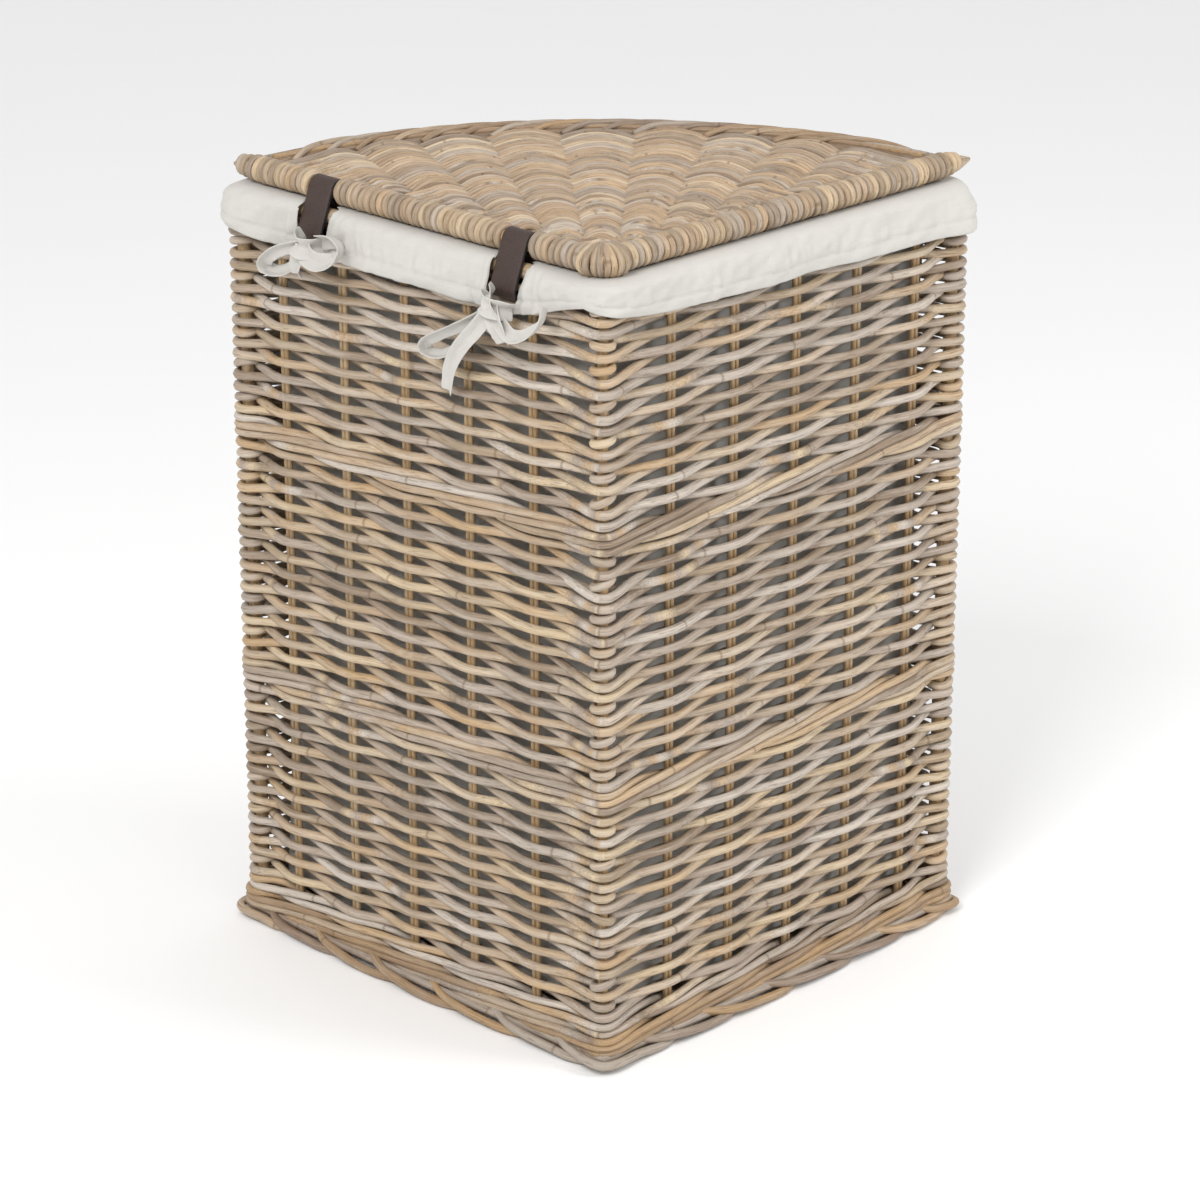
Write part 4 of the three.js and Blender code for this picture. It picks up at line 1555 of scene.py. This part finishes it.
@dataclass
class Lid:
    """The woven lid: poles, ribs, panel, wound rims and curved border.

    Args:
        plan: the basket's plan.
        rim: radius of a wound rim.
        winding: radius of the rods wound on it.
        axis_inset: how far the poles lie inside the wall's outer face.
        pole: radius of the poles.
        rib: radius of a rib.
        strand: radius of the panel's rods.
        pitch: spacing of the panel's rods.
        rib_slope: how much a rib leans more than the one before it.
        fan_setback: how far in front of the sharp corner the ribs' lines meet.
        corner_wrap: length of rim that the corner's fan takes up.
        fan: radius of the corner's fan.
        strap_window: half the bare pole left for a strap.
    """

    plan: Plan
    axis_inset: float = 0.0145
    rim: float = 0.0106
    winding: float = 0.0031
    pole: float = 0.0065
    rib: float = 0.00275
    strand: float = 0.0022
    pitch: float = 0.00325
    rib_slope: float = 0.054 / 0.480
    fan_setback: float = 0.150
    corner_wrap: float = 0.015
    fan: float = 0.012
    strap_window: float = 0.015

    def build(self, finishes: Finishes) -> None:
        """Builds every piece of the lid.

        Args:
            finishes: the basket's finishes.
        """
        self.poles(finishes.stake)
        self.ribs(finishes.stake)
        self.panel(finishes.lid)
        self.rims(finishes.winding)
        self.corner(finishes.winding)
        self.curved_edge(finishes)

    @property
    def level(self) -> float:
        """Height of the lid's poles."""
        return frame["joints"][0]["pos_m"][2]

    def poles(self, finish: bpy.types.Material) -> None:
        """The two straight poles inside the wound rims."""
        for node, side, start in (
            ("lid_hinge_pole", Side.LEFT, self.axis_inset - self.pole + 0.002),
            ("lid_right_pole", Side.RIGHT, self.axis_inset + self.pole + 0.0004),
        ):
            end = self.rim_end()
            places = [self.plan.beside(side, s, self.axis_inset) for s in np.linspace(start, end, 24)]
            points = np.array([[*p, self.level] for p in places])
            piece = sweep(f"{node}_rod", [Rod(points, uneven(24, self.pole, 0.02), 0.4)], finish, 14)
            ride(piece, "lid", "pole", node)

    def rim_end(self) -> float:
        """How far along the walls the wound rims run."""
        reach = self.plan.leg - 0.004 - self.rim
        return math.sqrt(reach**2 - self.axis_inset**2)

    def rib_lean(self, number: int, radius: float) -> float:
        """Where a rib crosses a radius, as the lean from the bisector."""
        slope = number * self.rib_slope
        length = radius * math.sqrt(1 + slope * slope)
        return math.atan(slope) + math.asin(min(max(self.fan_setback * slope / length, -1), 1))

    def rim_lean(self, radius: float, inset: float) -> float:
        """The lean at which a radius meets a line inset from a straight wall."""
        return math.pi / 4 - math.asin(min(inset / radius, 0.7))

    def ribs(self, finish: bpy.types.Material) -> None:
        """The ribs that the panel is woven on."""
        for number in range(-4, 5):
            radii = np.linspace(0.05, self.plan.leg - 0.022, 40)
            places = []
            for radius in radii:
                lean = self.rib_lean(number, radius)
                if abs(lean) < self.rim_lean(radius, self.axis_inset + self.rim * 0.6):
                    places.append([*self.plan.polar(radius, lean), self.level])
            node = f"lid_rib_{number + 5}"
            rods = [short_rod(np.array(places), self.rib, 0.04)]
            ride(sweep(f"{node}_rod", rods, finish), "lid", "pole", node)

    def panel(self, finish: bpy.types.Material) -> None:
        """The close weave: rods on arcs round the corner, over and under the ribs in turn."""
        rods = []
        first, last = 0.040, self.plan.leg - 0.0245
        count = int((last - first) / self.pitch)
        lift = self.rib + self.strand + 0.0003
        for row in range(count):
            radius = first + row * self.pitch
            edge = self.rim_lean(radius, self.axis_inset + self.rim * 0.35)
            crossings = []
            for number in range(-4, 5):
                lean = self.rib_lean(number, radius)
                if abs(lean) < edge - 0.007 / radius:
                    crossings.append((lean, 1 if (number + row) % 2 else -1))
            if not crossings:
                continue
            stages = [(-edge, 0.003)]
            ends = [-edge] + [lean for lean, _ in crossings] + [edge]
            for k, (lean, way) in enumerate(crossings):
                if k:
                    stages.append(((lean + ends[k]) / 2, 0.0))
                before, after = (lean - ends[k]) * 0.25, (ends[k + 2] - lean) * 0.25
                shoulder = way * lift * 0.74
                stages += [(lean - before, shoulder), (lean, way * lift), (lean + after, shoulder)]
            stages.append((edge, 0.003))
            wander = RNG.normal(0, 0.00025, len(stages))
            points = []
            for (lean, rise), shift in zip(stages, wander):
                place = self.plan.polar(radius + shift + 0.28 * max(rise, 0), lean)
                points.append([*place, self.level + rise + RNG.normal(0, 0.0002)])
            path = smooth_path(np.array(points), 3, False)
            rods.append(long_rod(path, self.strand, 2, False, 0.06))
        ride(sweep("lid_weave_rods", rods, finish), "lid", "weave", "lid_weave")

    def turn_of_cane(
        self, centre: np.ndarray, facing: np.ndarray, radius: float, rod: float, stretch: float = 1.0
    ) -> Rod:
        """One turn of cane round a pole.

        Args:
            centre: its centre.
            facing: unit vector along the pole.
            radius: radius of its middle line.
            rod: radius of the cane.
            stretch: how much wider than high it is.

        Returns:
            The turn.
        """
        up = np.array([0.0, 0.0, 1.0])
        across = np.cross(facing, up)
        tilt = facing * RNG.normal(0, 0.0005)
        squeeze = 1 + RNG.normal(0, 0.015)
        points = []
        for t in np.linspace(0, 2 * math.pi, 20, endpoint=False):
            reach = across * math.cos(t) * stretch + up * math.sin(t)
            points.append(centre + radius * squeeze * reach + tilt * math.sin(t))
        return Rod(np.array(points), rod, RNG.random(), True)

    def wound(self, side: Side, start: float, end: float, tip: bool) -> list:
        """Turns of cane side by side along a straight rim.

        Args:
            side: the wall that the rim lies over.
            start: where the first turn lies, from the sharp corner.
            end: where the last turn ends.
            tip: whether the turns shrink to a point past the end.

        Returns:
            The turns.
        """
        facing = np.array([side.value * HALF, HALF, 0.0])
        count = max(round((end - start) / (2 * self.winding * 1.04)), 1)
        gap = (end - start) / count
        rods = []
        for number in range(count):
            along = start + (number + 0.5) * gap + RNG.normal(0, 0.0002)
            centre = np.array([*self.plan.beside(side, along, self.axis_inset), self.level])
            rod = self.winding * (1 + RNG.normal(0, 0.05))
            rods.append(self.turn_of_cane(centre, facing, self.rim - self.winding, rod))
        if tip:
            for number in range(1, 3):
                along = end + number * 0.0058
                centre = np.array([*self.plan.beside(side, along, self.axis_inset), self.level])
                radius = (self.rim - self.winding) * (1 - 0.14 * number)
                rods.append(self.turn_of_cane(centre, facing, radius, self.winding * 0.9))
            rods.append(self.tip_ends(side, end))
        return rods

    def tip_ends(self, side: Side, end: float) -> Rod:
        """The pointed end of a rim."""
        reach = 0.0315 if side is Side.RIGHT else 0.0225
        alongs = np.linspace(end - 0.01, end + reach, 8)
        points = [[*self.plan.beside(side, s, self.axis_inset), self.level - 0.001] for s in alongs]
        radii = np.array([6.5, 6.8, 7.2, 7.4, 6.8, 5.2, 3.4, 1.4]) / 1000
        return Rod(np.array(points), radii, RNG.random())

    def rims(self, finish: bpy.types.Material) -> None:
        """The wound rims, with gaps on the hinge side where the straps hold the bare pole."""
        start = self.axis_inset + self.corner_wrap
        end = self.rim_end()
        (front, rear), half = STRAPS, self.strap_window
        runs = [
            ("lid_wrap_left_front", Side.LEFT, start, front - half, False),
            ("lid_wrap_left_middle", Side.LEFT, front + half, rear - half, False),
            ("lid_wrap_left_rear", Side.LEFT, rear + half, end, True),
            ("lid_wrap_right", Side.RIGHT, start, end, True),
        ]
        for node, side, low, high, tip in runs:
            piece = sweep(f"{node}_cane", self.wound(side, low, high, tip), finish)
            ride(piece, "lid", "winding", node)

    def corner(self, finish: bpy.types.Material) -> None:
        """The fan of turns round the lid's front corner."""
        rods = []
        centre = self.plan.beside(Side.RIGHT, self.axis_inset + self.fan, self.axis_inset + self.fan)
        for turn in np.radians([-47, -32, -17, -5, 9, 21, 35, 48]):
            radial = np.array([math.sin(turn), -math.cos(turn)])
            facing = np.array([math.cos(turn), math.sin(turn), 0.0])
            place = np.array([*(centre + radial * (self.fan - 0.0040)), self.level - 0.0006])
            rods.append(self.turn_of_cane(place, facing, 0.0098, 0.0027, 1.5))
        ride(sweep("lid_wrap_corner_cane", rods, finish), "lid", "winding", "lid_wrap_corner")

    def arc_rod(self, radius: float, lift: float, edge: float, rod: float, pieces: int = 3) -> Rod:
        """A long rod laid along the lid's curved edge."""
        leans = np.linspace(-edge, edge, 90)
        points = []
        seed = RNG.random() * 30
        for lean in leans:
            wave = noise.noise(Vector((seed, lean * 5, 0)))
            place = self.plan.polar(radius + 0.0006 * wave, lean)
            points.append([*place, self.level + lift + 0.0006 * wave])
        return long_rod(np.array(points), rod, pieces, False, 0.05)

    def curved_edge(self, finishes: Finishes) -> None:
        """The curved pole and the border laid along it."""
        leg = self.plan.leg
        edge = self.rim_lean(leg - 0.01, self.axis_inset + self.rim + 0.004)
        pole = Rod(self.arc_rod(leg - 0.0193, 0.0, edge, 0.006).points, 0.006, 0.5)
        ride(sweep("lid_arc_rod_pole", [pole], finishes.lid, 12), "lid", "pole", "lid_arc_rod")
        rods = []
        for radius, lift in ((0.0088, 0.0028), (0.0078, -0.0016), (0.0096, -0.0054), (0.0150, 0.0050)):
            rods.append(self.arc_rod(leg - radius, lift, edge, 0.0029))
        rods.append(self.arc_rod(leg - 0.0205, 0.0058, edge, 0.0026))
        for number in range(-9, 10):
            start = number * edge / 9.5
            stages = (
                (0.0, 0.0270, 0.0020),
                (0.04, 0.0215, 0.0074),
                (0.10, 0.0150, 0.0082),
                (0.17, 0.0098, 0.0062),
                (0.24, 0.0072, 0.0010),
            )
            points = []
            for lean, inset, lift in stages:
                place = self.plan.polar(leg - inset, min(max(start + lean, -edge), edge))
                points.append([*place, self.level + lift])
            if start + 0.24 > edge:
                continue
            path = smooth_path(np.array(points), 5, False)
            rods.append(short_rod(path, 0.0026))
        ride(sweep("lid_border_rods", rods, finishes.border), "lid", "border", "lid_border")


# ---- Studio -------------------------------------------------------------------------------------


@dataclass
class Studio:
    """Floor, lights and camera.

    Args:
        lens: focal length in millimetres on a sensor 36 mm wide.
        height: the camera's height.
        offset: how far the camera stands left of the basket's middle.
        distance: from the sharp corner to the camera, in plan.
        pitch: how far it looks down, in degrees.
        yaw: how far it looks to the right, in degrees.
        sky: brightness of the even light from all round.
    """

    plan: Plan
    lens: float = 125.5
    height: float = 1.453
    offset: float = -0.032
    distance: float = 2.811
    pitch: float = 20.91
    yaw: float = 0.61
    sky: float = 0.78

    def camera(self) -> None:
        """Places the camera."""
        data = bpy.data.cameras.new("camera")
        data.lens = self.lens
        data.sensor_width = 36.0
        camera = add_object("camera", data)
        camera.location = (self.offset, self.plan.corner_y - self.distance, self.height)
        pitch, yaw = math.radians(self.pitch), math.radians(self.yaw)
        level = math.cos(pitch)
        ahead = Vector((math.sin(yaw) * level, math.cos(yaw) * level, -math.sin(pitch)))
        camera.rotation_mode = "QUATERNION"
        camera.rotation_quaternion = ahead.to_track_quat("-Z", "Y")
        bpy.context.scene.camera = camera

    def light(self, name: str, place: tuple, size: float, power: float) -> None:
        """Adds a square soft light that faces the basket."""
        data = bpy.data.lights.new(name, "AREA")
        data.shape = "SQUARE"
        data.size = size
        data.energy = power
        lamp = add_object(name, data)
        lamp.location = place
        lamp.rotation_mode = "QUATERNION"
        lamp.rotation_quaternion = (Vector((0, 0, 0.3)) - Vector(place)).to_track_quat("-Z", "Y")

    def build(self) -> None:
        """Builds the studio."""
        scene = bpy.context.scene
        scene.view_settings.view_transform = "Standard"
        world = bpy.data.worlds.new("studio")
        world.use_nodes = True
        background = world.node_tree.nodes["Background"]
        background.inputs[0].default_value = (1, 1, 1, 1)
        background.inputs[1].default_value = self.sky
        scene.world = world
        pale = bpy.data.materials.new("floor")
        pale.use_nodes = True
        net = Nodes(pale.node_tree)
        shader = pale.node_tree.nodes["Principled BSDF"]
        mottle = net.noise(net.add("ShaderNodeTexCoord").outputs["Object"], 4.0)
        shade = net.mix("MIX", mottle, linear(250, 250, 250), linear(252, 252, 252))
        net.tree.links.new(shade, shader.inputs["Base Color"])
        shader.inputs["Roughness"].default_value = 0.9
        body = bmesh.new()
        bmesh.ops.create_grid(body, x_segments=1, y_segments=1, size=12.0)
        add_mesh("floor", body, pale)
        self.light("key", (-1.1, -2.4, 2.7), 1.3, 62.0)
        self.light("edge", (2.5, -0.7, 1.7), 0.9, 24.0)
        self.camera()


# ---- Assembly -----------------------------------------------------------------------------------


def build_finishes() -> Finishes:
    """Builds every finish.

    Returns:
        The finishes.
    """
    grain = cane_group()
    return Finishes(
        weave=CaneFinish("Weave cane", WEAVE_TONES).material(grain),
        stake=CaneFinish("Stake cane", STAKE_TONES, bloom_share=0.25).material(grain),
        border=CaneFinish("Border cane", BORDER_TONES, bloom_share=0.3).material(grain),
        lid=CaneFinish("Lid cane", LID_TONES, bloom_share=0.35).material(grain),
        winding=CaneFinish("Winding cane", WINDING_TONES, bloom_share=0.3).material(grain),
        cotton=ClothFinish("Cotton").material(),
        leather=LeatherFinish("Leather").material(),
        leather_edge=LeatherFinish("Leather edge", (52, 50, 56), (36, 34, 38)).material(),
    )


def main() -> None:
    """Builds the basket, its liner, straps and bows, the lid and the studio, in that order."""
    logging.basicConfig(level=logging.INFO, format="%(name)s %(message)s")
    plan = Plan().measure()
    finishes = build_finishes()
    Frames(plan).build(finishes.stake, finishes.weave)
    Uprights(plan).build(finishes.stake)
    for node in ("weave_lower", "weave_middle", "weave_upper"):
        WovenBand(node, plan).build(finishes.weave)
    Waling("foot_wale", plan, 3).build(finishes.weave)
    for node in ("wale_lower", "wale_upper"):
        Waling(node, plan, 4).build(finishes.weave)
    FootBorder(plan).build(finishes.border)
    liner = Liner(plan).build(finishes.cotton)
    for node, along in zip(("strap_front", "strap_rear"), STRAPS):
        Strap(node, plan, along).build(finishes.leather, finishes.leather_edge)
    for node, tapes in (("tie_front", FRONT_TAPES), ("tie_rear", REAR_TAPES)):
        Bow(node, plan, tapes).build(finishes.cotton)
    Lid(plan).build(finishes)
    Studio(plan).build()


if __name__ == "__main__":
    main()
